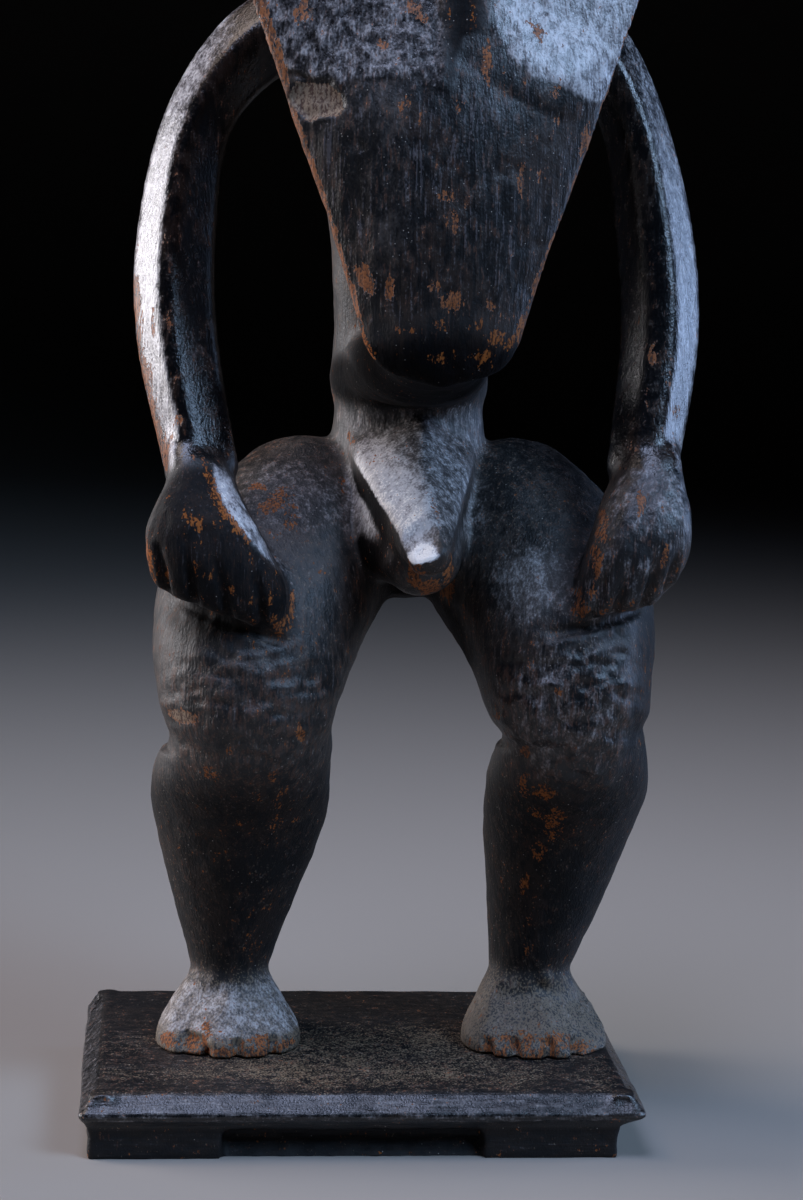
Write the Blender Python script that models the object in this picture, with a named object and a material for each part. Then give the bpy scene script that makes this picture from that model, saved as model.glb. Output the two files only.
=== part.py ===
"""A hunting amulet: a crouching man with a huge flat face, in dark hardwood, on a moulded plinth.

Every length is in millimetres. The carving is laid out from the middle of the plinth's underside: X to the
viewer's right, Y away from the viewer, Z up. The man faces -Y. At the end the whole amulet is set so that the
middle of its outer box's underside is the origin.
"""

import math

import bmesh
import bpy
import numpy as np
from mathutils import Vector

MM = 0.001

# The plinth
PLINTH_HEIGHT = 9.8
MARGIN_LEFT = 11.7             # from the outer side of the left foot to the sharp ridge
MARGIN_RIGHT = 3.0             # the man stands well right of the plinth's middle
MARGIN_FRONT = 18.6
MARGIN_BACK = 16.4
BEVEL_RUN = 3.2                # the sloping border of the top, seen from above
BEVEL_DROP = 3.0               # how far the ridge lies below the top
UNDERCUT = 1.9                 # height of the undercut between the ridge and the lower tier
TIER_INSET_LEFT = 1.7          # the lower tier is set in by hand, more at the right end
TIER_INSET_RIGHT = 4.3
TIER_INSET_FRONT = 1.8
BLOCK_LEFT = 19.6              # lengths of the two end blocks beside the sunk place
BLOCK_RIGHT = 20.0
RECESS_DEEP = 3.4              # the sunk place under the ridge
RECESS_SHALLOW = 1.2           # and at the underside
RECESS_KINK = 0.5              # where the slope begins, as a share of the tier's height
CORNER_ROUND = 1.2

# The figure
GAP = 0.3                      # air between the soles and the plinth
FIGURE_HEIGHT = 200.2          # from the soles to the crown
DRAWN_HEIGHT = 200.2           # the same height as the tables below are written for
DRAWN_SOLE = 10.1              # and the height at which they have the soles
UNIT = FIGURE_HEIGHT / DRAWN_HEIGHT
SOLE = PLINTH_HEIGHT + GAP

# Fineness of the solid
GRAIN = 0.85                   # size of the cubes in which the forms are made one
TRIANGLES = 9000
SECTION_POINTS = 28
STEPS = 6                      # rings between two stations
DOME_RINGS = (25, 50, 70, 85)  # where a rounded end has its rings, in degrees
SMOOTH_PASSES = 4
CREASE = 40.0                  # edges sharper than this stay sharp, in degrees

WOOD_BLACK = (0.018, 0.016, 0.017, 1.0)
WOOD_PLINTH = (0.020, 0.018, 0.018, 1.0)


def clear_scene():
    """Takes every object out of the scene."""
    for thing in list(bpy.data.objects):
        bpy.data.objects.remove(thing, do_unlink=True)


def wood(name, colour, roughness):
    """A plain dark wood."""
    material = bpy.data.materials.new(name)
    material.use_nodes = True
    shader = material.node_tree.nodes["Principled BSDF"]
    shader.inputs["Base Color"].default_value = colour
    shader.inputs["Roughness"].default_value = roughness
    shader.inputs["Metallic"].default_value = 0.0
    return material


def at(x, y, z):
    """A point of the carving, given at its height above the plinth's underside, as a place in metres."""
    return np.array([x * UNIT, y * UNIT, (z - DRAWN_SOLE) * UNIT + SOLE]) * MM


def curve_through(rows, steps):
    """A smooth table of values through the rows (a Catmull-Rom spline)."""
    rows = np.array(rows, float)
    padded = np.vstack([2 * rows[0] - rows[1], rows, 2 * rows[-1] - rows[-2]])
    out = []
    for i in range(1, len(padded) - 2):
        a, b, c, d = padded[i - 1:i + 3]
        for k in range(steps):
            t = k / steps
            out.append(0.5 * (2 * b + (c - a) * t + (2 * a - 5 * b + 4 * c - d) * t ** 2
                              + (3 * b - a - 3 * c + d) * t ** 3))
    out.append(rows[-1])
    return np.array(out)


def section(half_width, half_depth, edge, egg, flats):
    """The outline of a limb.

    edge 2 is an ellipse, under 2 has ridges, over 2 is squarish, and egg widens its front. flats are the
    knife's long cuts: the way each one looks, in degrees from the width, and how far out it lies.
    """
    points = []
    for i in range(SECTION_POINTS):
        angle = 2 * math.pi * i / SECTION_POINTS
        c, s = math.cos(angle), math.sin(angle)
        u = math.copysign(abs(c) ** (2 / edge), c)
        v = math.copysign(abs(s) ** (2 / edge), s)
        for looks, out in flats:
            a = math.radians(looks)
            reach = u * math.cos(a) + v * math.sin(a)
            if reach > out:
                u, v = u * out / reach, v * out / reach
        points.append((half_width * u * (1 + egg * v), half_depth * v))
    return points


def add_loft(bm, rows, across=(1, 0, 0), edge=2.0, egg=0.0, flats=(), dome=(0.0, 0.0), level=False,
             slope=0.0):
    """Adds a closed limb through rows of x, y, z, half width, half depth.

    across is the direction of the width, dome is how far each end is rounded, level keeps every section
    horizontal, and slope then tips them: how much each falls for a length to the right.
    """
    table = curve_through(rows, STEPS)
    places = np.array([at(*row[:3]) for row in table])
    halves = table[:, 3:5] * UNIT * MM
    tangents = np.gradient(places, axis=0)
    tangents /= np.linalg.norm(tangents, axis=1)[:, None]
    if level:
        tangents[:] = np.array([0.0, 0.0, 1.0]) * np.sign(places[-1, 2] - places[0, 2])
    rings = list(zip(places, halves, tangents))
    for end, sign in ((0, -1), (-1, 1)):
        if dome[end] > 0:
            place, half, tangent = rings[end]
            extra = []
            for angle in DOME_RINGS:
                a = math.radians(angle)
                reach = dome[end] * UNIT * MM * math.sin(a) * sign
                extra.append((place + tangent * reach, half * math.cos(a), tangent))
            rings = extra[::-1] + rings if end == 0 else rings + extra
    tip = np.array([0.0, 0.0, slope])
    loops = []
    for place, half, tangent in rings:
        u = np.array(across, float)
        u -= tangent * u.dot(tangent)
        u /= np.linalg.norm(u)
        v = np.cross(u, tangent)
        loop = []
        for p, q in section(half[0], half[1], edge, egg, flats):
            offset = u * p + v * q
            loop.append(bm.verts.new(place + offset - tip * offset[0]))
        loops.append(loop)
    join_loops(bm, loops)


def join_loops(bm, loops):
    """Skins a row of rings and closes both ends."""
    faces = []
    count = len(loops[0])
    for lower, upper in zip(loops, loops[1:]):
        for i in range(count):
            j = (i + 1) % count
            faces.append(bm.faces.new((lower[i], lower[j], upper[j], upper[i])))
    faces.append(bm.faces.new(loops[0][::-1]))
    faces.append(bm.faces.new(loops[-1]))
    bmesh.ops.recalc_face_normals(bm, faces=faces)


# The forms. Left and right are the viewer's. Each row is x, y, z, half width, half depth.
SHINS = {
    "left": [(-19.3, 3.2, 15.0, 6.0, 6.4), (-19.3, 3.0, 19.8, 5.7, 6.1), (-18.8, 2.0, 31.5, 9.2, 9.2),
             (-18.1, -1.2, 44.5, 12.9, 12.2), (-18.1, -6.0, 52.5, 13.4, 13.0),
             (-17.3, -10.6, 60.0, 12.4, 13.0), (-17.2, -11.6, 67.0, 11.4, 12.6)],
    "right": [(27.4, 3.2, 15.0, 6.4, 6.5), (27.4, 3.0, 19.6, 6.2, 6.2), (29.5, 2.0, 31.5, 8.9, 9.1),
              (30.9, -1.4, 44.5, 11.6, 11.8), (31.5, -6.0, 52.5, 12.3, 12.7),
              (31.2, -10.6, 60.0, 11.0, 12.7), (30.6, -11.6, 67.0, 10.4, 12.3)],
}
THIGHS = {
    "left": [(-7.2, 8.5, 88.4, 15.0, 15.2), (-10.9, 2.5, 85.0, 15.8, 15.0),
             (-14.8, -4.5, 79.4, 16.0, 14.2), (-16.7, -9.3, 73.5, 15.2, 13.6),
             (-17.3, -11.8, 67.5, 14.0, 13.0), (-17.3, -12.6, 62.5, 12.5, 12.2)],
    "right": [(22.0, 8.5, 88.4, 15.0, 15.2), (24.9, 2.5, 85.2, 15.6, 15.0),
              (27.8, -4.5, 79.8, 15.2, 14.0), (29.4, -9.3, 74.2, 14.3, 13.4),
              (30.2, -11.8, 68.3, 12.9, 12.8), (31.2, -12.6, 63.2, 11.6, 12.0)],
}
FEET = {
    "left": [(-19.4, 1.4, 7.0, 10.7, 12.4), (-19.4, 1.4, 11.6, 10.9, 12.2), (-19.4, 2.0, 15.0, 9.2, 9.8),
             (-19.3, 2.8, 20.5, 5.6, 6.2)],
    "right": [(28.0, 0.8, 7.0, 10.9, 12.4), (28.0, 0.8, 11.6, 11.0, 12.2), (27.9, 1.6, 15.0, 9.3, 9.8),
              (27.4, 2.8, 20.5, 6.1, 6.4)],
}
ARMS = {
    "left": [(4.0, 4.6, 160.5, 7.4, 7.0), (-7.5, 3.8, 165.2, 6.8, 6.6), (-17.2, 2.4, 161.8, 5.8, 6.1),
             (-25.7, 0.4, 150.5, 5.5, 5.3), (-28.8, -3.2, 134.0, 5.8, 6.1), (-28.6, -7.6, 118.5, 5.8, 6.2),
             (-24.8, -14.0, 99.5, 5.2, 5.5)],
    "right": [(10.0, 4.6, 160.5, 7.4, 7.0), (22.5, 3.8, 166.2, 6.8, 6.6), (32.0, 2.4, 163.0, 5.8, 6.0),
              (38.8, 0.4, 152.3, 5.5, 5.2), (42.2, -3.2, 135.5, 5.8, 6.1), (42.9, -7.6, 119.5, 5.8, 6.2),
              (40.0, -14.0, 100.5, 5.2, 5.6)],
}
HANDS = {
    "left": [(-25.4, -14.4, 101.5, 4.6, 5.4), (-24.2, -17.4, 97.3, 5.6, 5.6),
             (-23.6, -19.8, 93.0, 7.8, 5.8), (-22.9, -20.6, 88.6, 9.8, 5.8),
             (-22.4, -20.6, 85.0, 10.2, 5.6), (-22.2, -20.4, 82.4, 9.8, 5.2),
             (-22.0, -20.2, 80.9, 9.3, 4.7)],
    "right": [(41.0, -14.4, 102.5, 4.4, 5.4), (39.8, -17.4, 98.0, 5.9, 5.6), (39.2, -19.8, 93.6, 7.2, 5.8),
              (38.6, -20.6, 89.4, 7.8, 5.8), (38.0, -20.6, 86.0, 7.6, 5.6), (37.0, -20.4, 83.2, 7.0, 5.2),
              (36.2, -20.2, 81.6, 6.2, 4.7)],
}
HAND_SLOPES = {"left": 0.32, "right": -0.22}   # the thumbs reach lower than the little fingers
# The long knife cuts: the way each looks, in degrees from the section's width, and how far out it lies.
ARM_FLATS = {
    "left": [(-48, 0.80), (42, 0.80), (132, 0.84), (-132, 0.84)],
    "right": [(50, 0.80), (-11, 0.93), (-60, 0.82), (132, 0.84), (-132, 0.84)],
}
SEX_FLATS = [(-119, 0.78), (-60, 0.80), (176, 0.92), (4, 0.92)]
PELVIS = [(6.8, 6.0, 80.5, 6.0, 7.0), (6.9, 7.0, 86.0, 13.0, 11.5), (6.9, 7.6, 94.0, 16.0, 12.5),
          (6.9, 7.4, 101.0, 12.4, 11.2), (6.9, 7.0, 106.0, 11.0, 9.6)]
TRUNK = [(6.9, 7.2, 98.0, 12.4, 10.8), (6.9, 6.6, 107.4, 11.3, 9.3), (6.9, 6.2, 111.4, 12.0, 10.0),
         (7.0, 6.0, 121.0, 11.8, 9.1), (7.0, 6.0, 136.0, 13.0, 9.2), (7.0, 5.6, 150.0, 16.4, 9.9),
         (7.0, 5.0, 161.0, 16.8, 9.6), (7.0, 4.0, 169.0, 10.4, 8.8), (7.0, 2.0, 180.0, 9.0, 9.4)]
SEX = [(6.9, 4.0, 101.0, 10.8, 9.2), (7.0, -5.0, 98.0, 9.4, 8.0), (7.2, -14.0, 94.4, 6.9, 6.0),
       (7.5, -22.0, 91.0, 4.4, 4.3), (7.8, -26.0, 88.9, 3.3, 3.2)]
BAG = [(6.4, -2.0, 91.0, 9.2, 8.0), (6.6, -9.0, 89.4, 8.4, 7.4), (7.6, -16.0, 86.8, 5.8, 5.2)]
BRIDGE = [(8.4, -31.0, 120.0, 7.6, 5.6), (8.0, -22.0, 118.0, 7.8, 5.6), (7.6, -10.0, 115.6, 9.4, 6.0),
          (7.2, -1.0, 114.6, 11.2, 6.2)]
SKULL = [(7.6, -6.0, 168.0, 9.0, 12.0), (7.6, -5.0, 176.0, 16.0, 18.0), (7.6, -3.8, 186.0, 20.5, 21.5),
         (7.6, -3.0, 196.0, 20.5, 20.5), (7.6, -3.6, 203.5, 15.6, 15.2)]

FACE_MIDLINE = 8.0
RIM = 1.7                      # thickness of the face's side edge
CHIN_SWELL = 2.3               # how flat the face's front is: higher is flatter in the middle
FOREHEAD_SWELL = 1.5           # and nearer 1 is a roof with a ridge
SWELL_CHANGES = (150.0, 163.0)
BACK_SWELL = 2.6
# The face: height, half width, depth of its middle, of its side edges and of its back.
FACE = [(114.0, 1.0, -35.0, -34.4, -31.6), (116.0, 7.6, -36.4, -34.4, -30.4),
        (119.4, 10.5, -37.4, -34.6, -29.6), (124.0, 12.0, -37.9, -34.4, -29.6),
        (135.0, 15.4, -38.0, -33.8, -28.0), (147.0, 19.8, -37.2, -32.2, -25.4),
        (156.0, 23.0, -35.6, -30.2, -22.6), (167.0, 27.0, -31.6, -26.8, -16.0),
        (178.0, 31.0, -28.6, -22.6, -8.0), (188.0, 31.6, -25.6, -18.8, -4.4),
        (196.0, 28.6, -22.6, -14.6, -3.0), (202.0, 23.4, -19.2, -11.4, -2.6),
        (206.4, 16.6, -15.6, -9.4, -3.2), (209.2, 8.6, -12.0, -8.2, -4.8), (210.2, 1.6, -8.8, -7.6, -6.2)]

# The cuts and ridges, as seen from the front: x and z of each line's points.
FINGER_GAPS = [((-31.0, 90.0), (-29.4, 82.0)), ((-27.0, 90.4), (-25.6, 79.0)),
               ((-22.4, 88.4), (-20.2, 77.6)), ((-18.2, 88.6), (-15.6, 76.0)),
               ((36.6, 89.6), (34.6, 78.0)), ((40.8, 90.7), (38.9, 80.0)), ((43.8, 91.0), (42.6, 83.0)),
               ((33.4, 88.0), (31.6, 77.6))]
TOE_GAPS = [(-27.3, 12.4), (-22.3, 13.0), (-18.2, 13.0), (-12.4, 13.4), (20.0, 13.4), (24.1, 13.6),
            (29.3, 13.8), (33.6, 13.4)]
NOSE = [(8.2, 197.0), (8.2, 180.0)]
PARTING = [(8.2, 171.0), (8.6, 156.0)]
MOUTH = [(3.4, 174.4), (8.2, 173.6), (13.0, 174.4)]
BROW = [(2.0, 196.4), (9.0, 199.2), (17.0, 198.4), (23.0, 194.0)]
EYE = [(6.0, 190.0), (11.5, 189.0), (18.0, 190.6)]
ANKLE_KNOB = [(29.5, 20.0), (29.7, 19.0)]
HANDS_BEHIND = -17.0           # only what lies in front of these depths and below the height is cut
TOES_BEHIND = -3.0
TOES_BELOW = 18.0
FACING_FRONT = -0.2
# How far each line is raised (or cut, where negative) and how far it reaches to its sides.
FINGER_CUT = (-1.0, 1.3)
TOE_CUT = (-1.5, 1.3)
KNOB_RISE = (1.2, 2.2)
NOSE_RISE = (3.4, 3.6)
PARTING_RISE = (0.7, 3.4)
MOUTH_CUT = (-1.0, 1.4)
BROW_RISE = (1.3, 2.8)
LID_RISE = (0.9, 4.2)
EYE_CUT = (-1.7, 1.4)


def add_face(bm):
    """Adds the shield of the face: sharp side edges, a gently swollen front and a fuller back."""
    table = curve_through(FACE, STEPS)
    half = SECTION_POINTS // 2
    loops = []
    for z, width, middle, side, back in table:
        share = np.clip((z - SWELL_CHANGES[0]) / (SWELL_CHANGES[1] - SWELL_CHANGES[0]), 0, 1)
        swell = CHIN_SWELL + (FOREHEAD_SWELL - CHIN_SWELL) * share
        loop = []
        for i in range(half + 1):
            s = -1 + 2 * i / half
            y = side + (middle - side) * (1 - abs(s) ** swell)
            loop.append(bm.verts.new(at(FACE_MIDLINE + width * s, y, z)))
        for i in range(half + 1):
            s = 1 - 2 * i / half
            y = side + RIM + (back - side - RIM) * (1 - abs(s) ** BACK_SWELL)
            loop.append(bm.verts.new(at(FACE_MIDLINE + width * s, y, z)))
        loops.append(loop)
    join_loops(bm, loops)


def rough_figure():
    """All the forms of the man, overlapping, as one loose mesh."""
    bm = bmesh.new()
    for side in ("left", "right"):
        add_loft(bm, FEET[side], edge=2.3, egg=0.14, level=True)
        add_loft(bm, SHINS[side], edge=1.9, level=True, dome=(0.0, 7.0))
        add_loft(bm, THIGHS[side], edge=2.1, dome=(12.0, 5.0))
        add_loft(bm, ARMS[side], across=(0, -1, 0), flats=ARM_FLATS[side], dome=(4.0, 3.0))
        add_loft(bm, HANDS[side], edge=2.6, dome=(2.0, 1.2), level=True, slope=HAND_SLOPES[side])
    add_loft(bm, PELVIS, level=True, dome=(2.0, 2.0))
    add_loft(bm, TRUNK, edge=2.3, level=True, dome=(2.0, 2.0))
    add_loft(bm, SEX, flats=SEX_FLATS, dome=(2.0, 2.0))
    add_loft(bm, BAG, dome=(2.0, 4.0))
    add_loft(bm, BRIDGE, edge=2.4, dome=(1.5, 2.0))
    add_loft(bm, SKULL, level=True, dome=(2.0, 6.0))
    add_face(bm)
    return bm


def one_block(bm):
    """Makes the overlapping forms one skin, worn soft as hands wear carved wood."""
    mesh = bpy.data.meshes.new("figure")
    bm.to_mesh(mesh)
    bm.free()
    block = bpy.data.objects.new("figure", mesh)
    bpy.context.scene.collection.objects.link(block)
    remesh = block.modifiers.new("one block", "REMESH")
    remesh.mode = "VOXEL"
    remesh.voxel_size = GRAIN * MM
    soften = block.modifiers.new("soften", "SMOOTH")
    soften.factor = 0.5
    soften.iterations = int(SMOOTH_PASSES)
    settle(block)
    return block


def settle(thing):
    """Replaces an object's mesh by what its modifiers make of it."""
    view = bpy.context.evaluated_depsgraph_get()
    finished = bpy.data.meshes.new_from_object(thing.evaluated_get(view))
    thing.modifiers.clear()
    thing.data = finished


def along(points, line, size):
    """What a line raises each point by, seen from the front: all on it, nothing from reach away."""
    rise, reach = size
    nearest = np.full(len(points), np.inf)
    for start, end in zip(line, line[1:]):
        a = np.array(start)
        b = np.array(end)
        t = ((points - a) @ (b - a)) / ((b - a) @ (b - a))
        gap = points - (a + t.clip(0, 1)[:, None] * (b - a))
        nearest = np.minimum(nearest, (gap ** 2).sum(1))
    return rise * (1 - nearest / reach ** 2).clip(0, 1) ** 1.5


def mirrored(line, side):
    """A line given from the face's middle, set on one side of it."""
    return [(FACE_MIDLINE + side * x, z) for x, z in line]


def carve(block):
    """Cuts fingers, toes and the face, by moving the skin in or out along its own direction."""
    mesh = block.data
    count = len(mesh.vertices)
    place = np.empty(count * 3)
    mesh.vertices.foreach_get("co", place)
    place = place.reshape(-1, 3)
    facing = np.empty(count * 3)
    mesh.vertex_normals.foreach_get("vector", facing)
    facing = facing.reshape(-1, 3)
    drawn = place / MM / UNIT
    drawn[:, 2] += DRAWN_SOLE - SOLE / UNIT
    seen = drawn[:, [0, 2]]
    front = facing[:, 1] < FACING_FRONT

    hands = front & (drawn[:, 1] < HANDS_BEHIND)
    toes = (drawn[:, 1] < TOES_BEHIND) & (drawn[:, 2] < TOES_BELOW)
    out = np.zeros(count)
    for gap in FINGER_GAPS:
        out += along(seen, gap, FINGER_CUT) * hands
    for x, top in TOE_GAPS:
        out += along(seen, [(x, DRAWN_SOLE), (x, top)], TOE_CUT) * toes
    out += along(seen, ANKLE_KNOB, KNOB_RISE) * front
    out += along(seen, NOSE, NOSE_RISE) * front
    out += along(seen, PARTING, PARTING_RISE) * front
    out += along(seen, MOUTH, MOUTH_CUT) * front
    for side in (1, -1):
        out += along(seen, mirrored(BROW, side), BROW_RISE) * front
        out += along(seen, mirrored(EYE, side), LID_RISE) * front
        out += along(seen, mirrored(EYE, side), EYE_CUT) * front
    place += facing * (out * UNIT * MM)[:, None]
    mesh.vertices.foreach_set("co", place.ravel())
    mesh.update()


def thin_out(block):
    """Keeps small faces only where the form turns, then cuts the soles flat."""
    mesh = block.data
    mesh.calc_loop_triangles()
    thin = block.modifiers.new("fewer faces", "DECIMATE")
    thin.ratio = TRIANGLES / len(mesh.loop_triangles)
    settle(block)
    bm = bmesh.new()
    bm.from_mesh(block.data)
    everything = bm.verts[:] + bm.edges[:] + bm.faces[:]
    bmesh.ops.bisect_plane(bm, geom=everything, dist=0.00001, plane_co=(0, 0, SOLE * MM),
                           plane_no=(0, 0, -1), clear_outer=True)
    rims = [edge for edge in bm.edges if edge.is_boundary]
    bmesh.ops.holes_fill(bm, edges=rims, sides=0)
    bmesh.ops.dissolve_degenerate(bm, dist=0.00002, edges=bm.edges[:])
    bmesh.ops.triangulate(bm, faces=bm.faces[:])
    bmesh.ops.recalc_face_normals(bm, faces=bm.faces[:])
    bm.to_mesh(block.data)
    bm.free()
    block.data.shade_smooth()
    block.data.set_sharp_from_angle(angle=math.radians(CREASE))


def add_box_ring(bm, left, right, front, back, z):
    """One level rectangle with slightly rounded corners, as a ring of points."""
    ring = []
    corners = [(right, front, -90), (right, back, 0), (left, back, 90), (left, front, 180)]
    for x, y, first in corners:
        sx = -1 if x == right else 1
        sy = -1 if y == back else 1
        for k in range(3):
            a = math.radians(first + 45 * k)
            px = x + CORNER_ROUND * (sx + math.cos(a))
            py = y + CORNER_ROUND * (sy + math.sin(a))
            ring.append(bm.verts.new(Vector((px, py, z)) * MM))
    return ring


def ridge_edges():
    """Where the plinth's sharp ridge runs: left, right, front and back of the feet by the margins."""
    broad = [feet[1] for feet in FEET.values()]
    left = UNIT * min(x - half for x, y, z, half, deep in broad) - MARGIN_LEFT
    right = UNIT * max(x + half for x, y, z, half, deep in broad) + MARGIN_RIGHT
    front = UNIT * min(y - deep for x, y, z, half, deep in broad) - MARGIN_FRONT
    back = UNIT * max(y + deep for x, y, z, half, deep in broad) + MARGIN_BACK
    return left, right, front, back


def make_plinth():
    """The moulded plinth: a sloping border, a sharp ridge, an undercut and a tier with a sunk place."""
    left, right, front, back = ridge_edges()
    ridge = PLINTH_HEIGHT - BEVEL_DROP
    tier = ridge - UNDERCUT
    levels = [(TIER_INSET_LEFT, TIER_INSET_RIGHT, TIER_INSET_FRONT, 0.0),
              (TIER_INSET_LEFT, TIER_INSET_RIGHT, TIER_INSET_FRONT, tier),
              (0.0, 0.0, 0.0, ridge),
              (BEVEL_RUN, BEVEL_RUN, BEVEL_RUN, PLINTH_HEIGHT)]
    bm = bmesh.new()
    loops = []
    for in_left, in_right, in_depth, z in levels:
        loops.append(add_box_ring(bm, left + in_left, right - in_right, front + in_depth, back - in_depth, z))
    join_loops(bm, loops)
    mesh = bpy.data.meshes.new("plinth")
    bm.to_mesh(mesh)
    bm.free()
    plinth = bpy.data.objects.new("plinth", mesh)
    bpy.context.scene.collection.objects.link(plinth)
    sunk_left = left + TIER_INSET_LEFT + BLOCK_LEFT
    sunk_right = right - TIER_INSET_RIGHT - BLOCK_RIGHT
    for name, face, inward in (("front recess", front + TIER_INSET_FRONT, 1),
                               ("back recess", back - TIER_INSET_FRONT, -1)):
        cutter = make_recess(name, sunk_left, sunk_right, face, inward, tier)
        cut = plinth.modifiers.new(name, "BOOLEAN")
        cut.operation = "DIFFERENCE"
        cut.solver = "EXACT"
        cut.object = cutter
    return plinth


def make_recess(name, left, right, face, inward, top):
    """The tool for a sunk place: deep under the ridge and shallow at the underside."""
    outside = face - inward * TIER_INSET_FRONT * 2
    profile = [(outside, -1.0), (face + inward * RECESS_SHALLOW, -1.0),
               (face + inward * RECESS_SHALLOW, 0.0), (face + inward * RECESS_DEEP, top * RECESS_KINK),
               (face + inward * RECESS_DEEP, top), (outside, top)]
    bm = bmesh.new()
    loops = [[bm.verts.new(Vector((x, y, z)) * MM) for y, z in profile] for x in (left, right)]
    join_loops(bm, loops)
    mesh = bpy.data.meshes.new(name)
    bm.to_mesh(mesh)
    bm.free()
    cutter = bpy.data.objects.new(name, mesh)
    cutter.hide_render = True
    cutter.display_type = "WIRE"
    bpy.context.scene.collection.objects.link(cutter)
    return cutter


def set_down(pieces):
    """Hangs the pieces on an empty that puts the middle of their box's underside at the origin."""
    view = bpy.context.evaluated_depsgraph_get()
    corners = []
    for piece in pieces:
        corners += [corner[:] for corner in piece.evaluated_get(view).bound_box]
    low = np.min(corners, axis=0)
    high = np.max(corners, axis=0)
    amulet = bpy.data.objects.new("amulet", None)
    amulet.location = (-(low[0] + high[0]) / 2, -(low[1] + high[1]) / 2, -low[2])
    bpy.context.scene.collection.objects.link(amulet)
    for thing in list(bpy.data.objects):
        if thing is not amulet:
            thing.parent = amulet


def main():
    """Builds the amulet."""
    clear_scene()
    figure = one_block(rough_figure())
    carve(figure)
    thin_out(figure)
    figure.data.materials.append(wood("figure wood", WOOD_BLACK, 0.4))
    plinth = make_plinth()
    plinth.data.materials.append(wood("plinth wood", WOOD_PLINTH, 0.55))
    set_down([figure, plinth])


main()
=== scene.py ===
"""The looks of the hunting amulet: a crouching man with a huge flat face, carved in smoke-blackened hardwood.

Lengths are in millimetres of the carving, measured from the middle of the plinth's underside: X to the viewer's
right, Y away from the viewer, Z up. Left and right are the viewer's. The man faces -Y.
"""
from __future__ import annotations

import logging
import math
from dataclasses import dataclass
from enum import Enum

import bmesh
import bpy
import numpy as np
from mathutils import Matrix, Vector

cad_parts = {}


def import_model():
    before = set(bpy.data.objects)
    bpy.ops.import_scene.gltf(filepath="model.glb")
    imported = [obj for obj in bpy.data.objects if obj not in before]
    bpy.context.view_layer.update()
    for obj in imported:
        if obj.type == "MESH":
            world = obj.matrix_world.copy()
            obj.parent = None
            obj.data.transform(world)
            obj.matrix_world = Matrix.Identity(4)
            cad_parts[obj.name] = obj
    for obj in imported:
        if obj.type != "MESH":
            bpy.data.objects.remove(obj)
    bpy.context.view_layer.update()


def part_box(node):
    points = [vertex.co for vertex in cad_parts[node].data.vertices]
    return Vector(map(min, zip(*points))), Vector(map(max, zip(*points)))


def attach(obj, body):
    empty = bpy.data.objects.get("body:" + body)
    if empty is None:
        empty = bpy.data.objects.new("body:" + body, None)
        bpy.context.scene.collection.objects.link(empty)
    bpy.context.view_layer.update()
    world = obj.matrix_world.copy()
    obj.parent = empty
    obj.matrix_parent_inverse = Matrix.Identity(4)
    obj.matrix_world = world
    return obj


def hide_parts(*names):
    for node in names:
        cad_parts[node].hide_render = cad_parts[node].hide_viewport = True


log = logging.getLogger("amulet")

Array = np.ndarray
Triple = tuple[float, float, float]
Row = tuple[float, ...]
Line = tuple[tuple[float, float], ...]
Term = tuple[str | bpy.types.NodeSocket, float]        # an attribute's name or a pattern, and its weight

MM = 0.001


class Side(Enum):
    """The two sides of the man, as the viewer sees them."""

    LEFT = -1
    RIGHT = 1


# ---- Numbers

def linear(code: str) -> tuple[float, float, float, float]:
    """Turns an sRGB hex value into a linear colour.

    Args:
        code: six hex digits, with or without a leading hash.

    Returns:
        Red, green, blue and an alpha of 1.
    """
    digits = code.lstrip("#")
    parts = [int(digits[i:i + 2], 16) / 255 for i in (0, 2, 4)]
    red, green, blue = [p / 12.92 if p <= 0.04045 else ((p + 0.055) / 1.055) ** 2.4 for p in parts]
    return red, green, blue, 1.0


def ramp(values: Array, low: float, high: float) -> Array:
    """Rises smoothly from 0 at low to 1 at high (or falls, where low is the greater).

    Args:
        values: the values read.
        low: where the result is 0.
        high: where the result is 1.

    Returns:
        The result for each value, from 0 to 1.
    """
    t = np.clip((values - low) / (high - low), 0.0, 1.0)
    return t * t * (3 - 2 * t)


def curve_through(rows: tuple[Row, ...], steps: int) -> Array:
    """A smooth table of values through the rows (a Catmull-Rom spline).

    Args:
        rows: the rows it passes through.
        steps: how many rows it makes for each one given.

    Returns:
        The finer table.
    """
    table = np.array(rows, float)
    padded = np.vstack([2 * table[0] - table[1], table, 2 * table[-1] - table[-2]])
    t = (np.arange(steps) / steps)[:, None]
    out = []
    for i in range(1, len(padded) - 2):
        a, b, c, d = padded[i - 1:i + 3]
        out.append(0.5 * (2 * b + (c - a) * t + (2 * a - 5 * b + 4 * c - d) * t ** 2
                          + (3 * b - a - 3 * c + d) * t ** 3))
    out.append(table[-1:])
    return np.vstack(out)


def strongest(*shares: Array) -> Array:
    """The greatest of several values at each point."""
    return np.maximum.reduce(shares)


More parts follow.
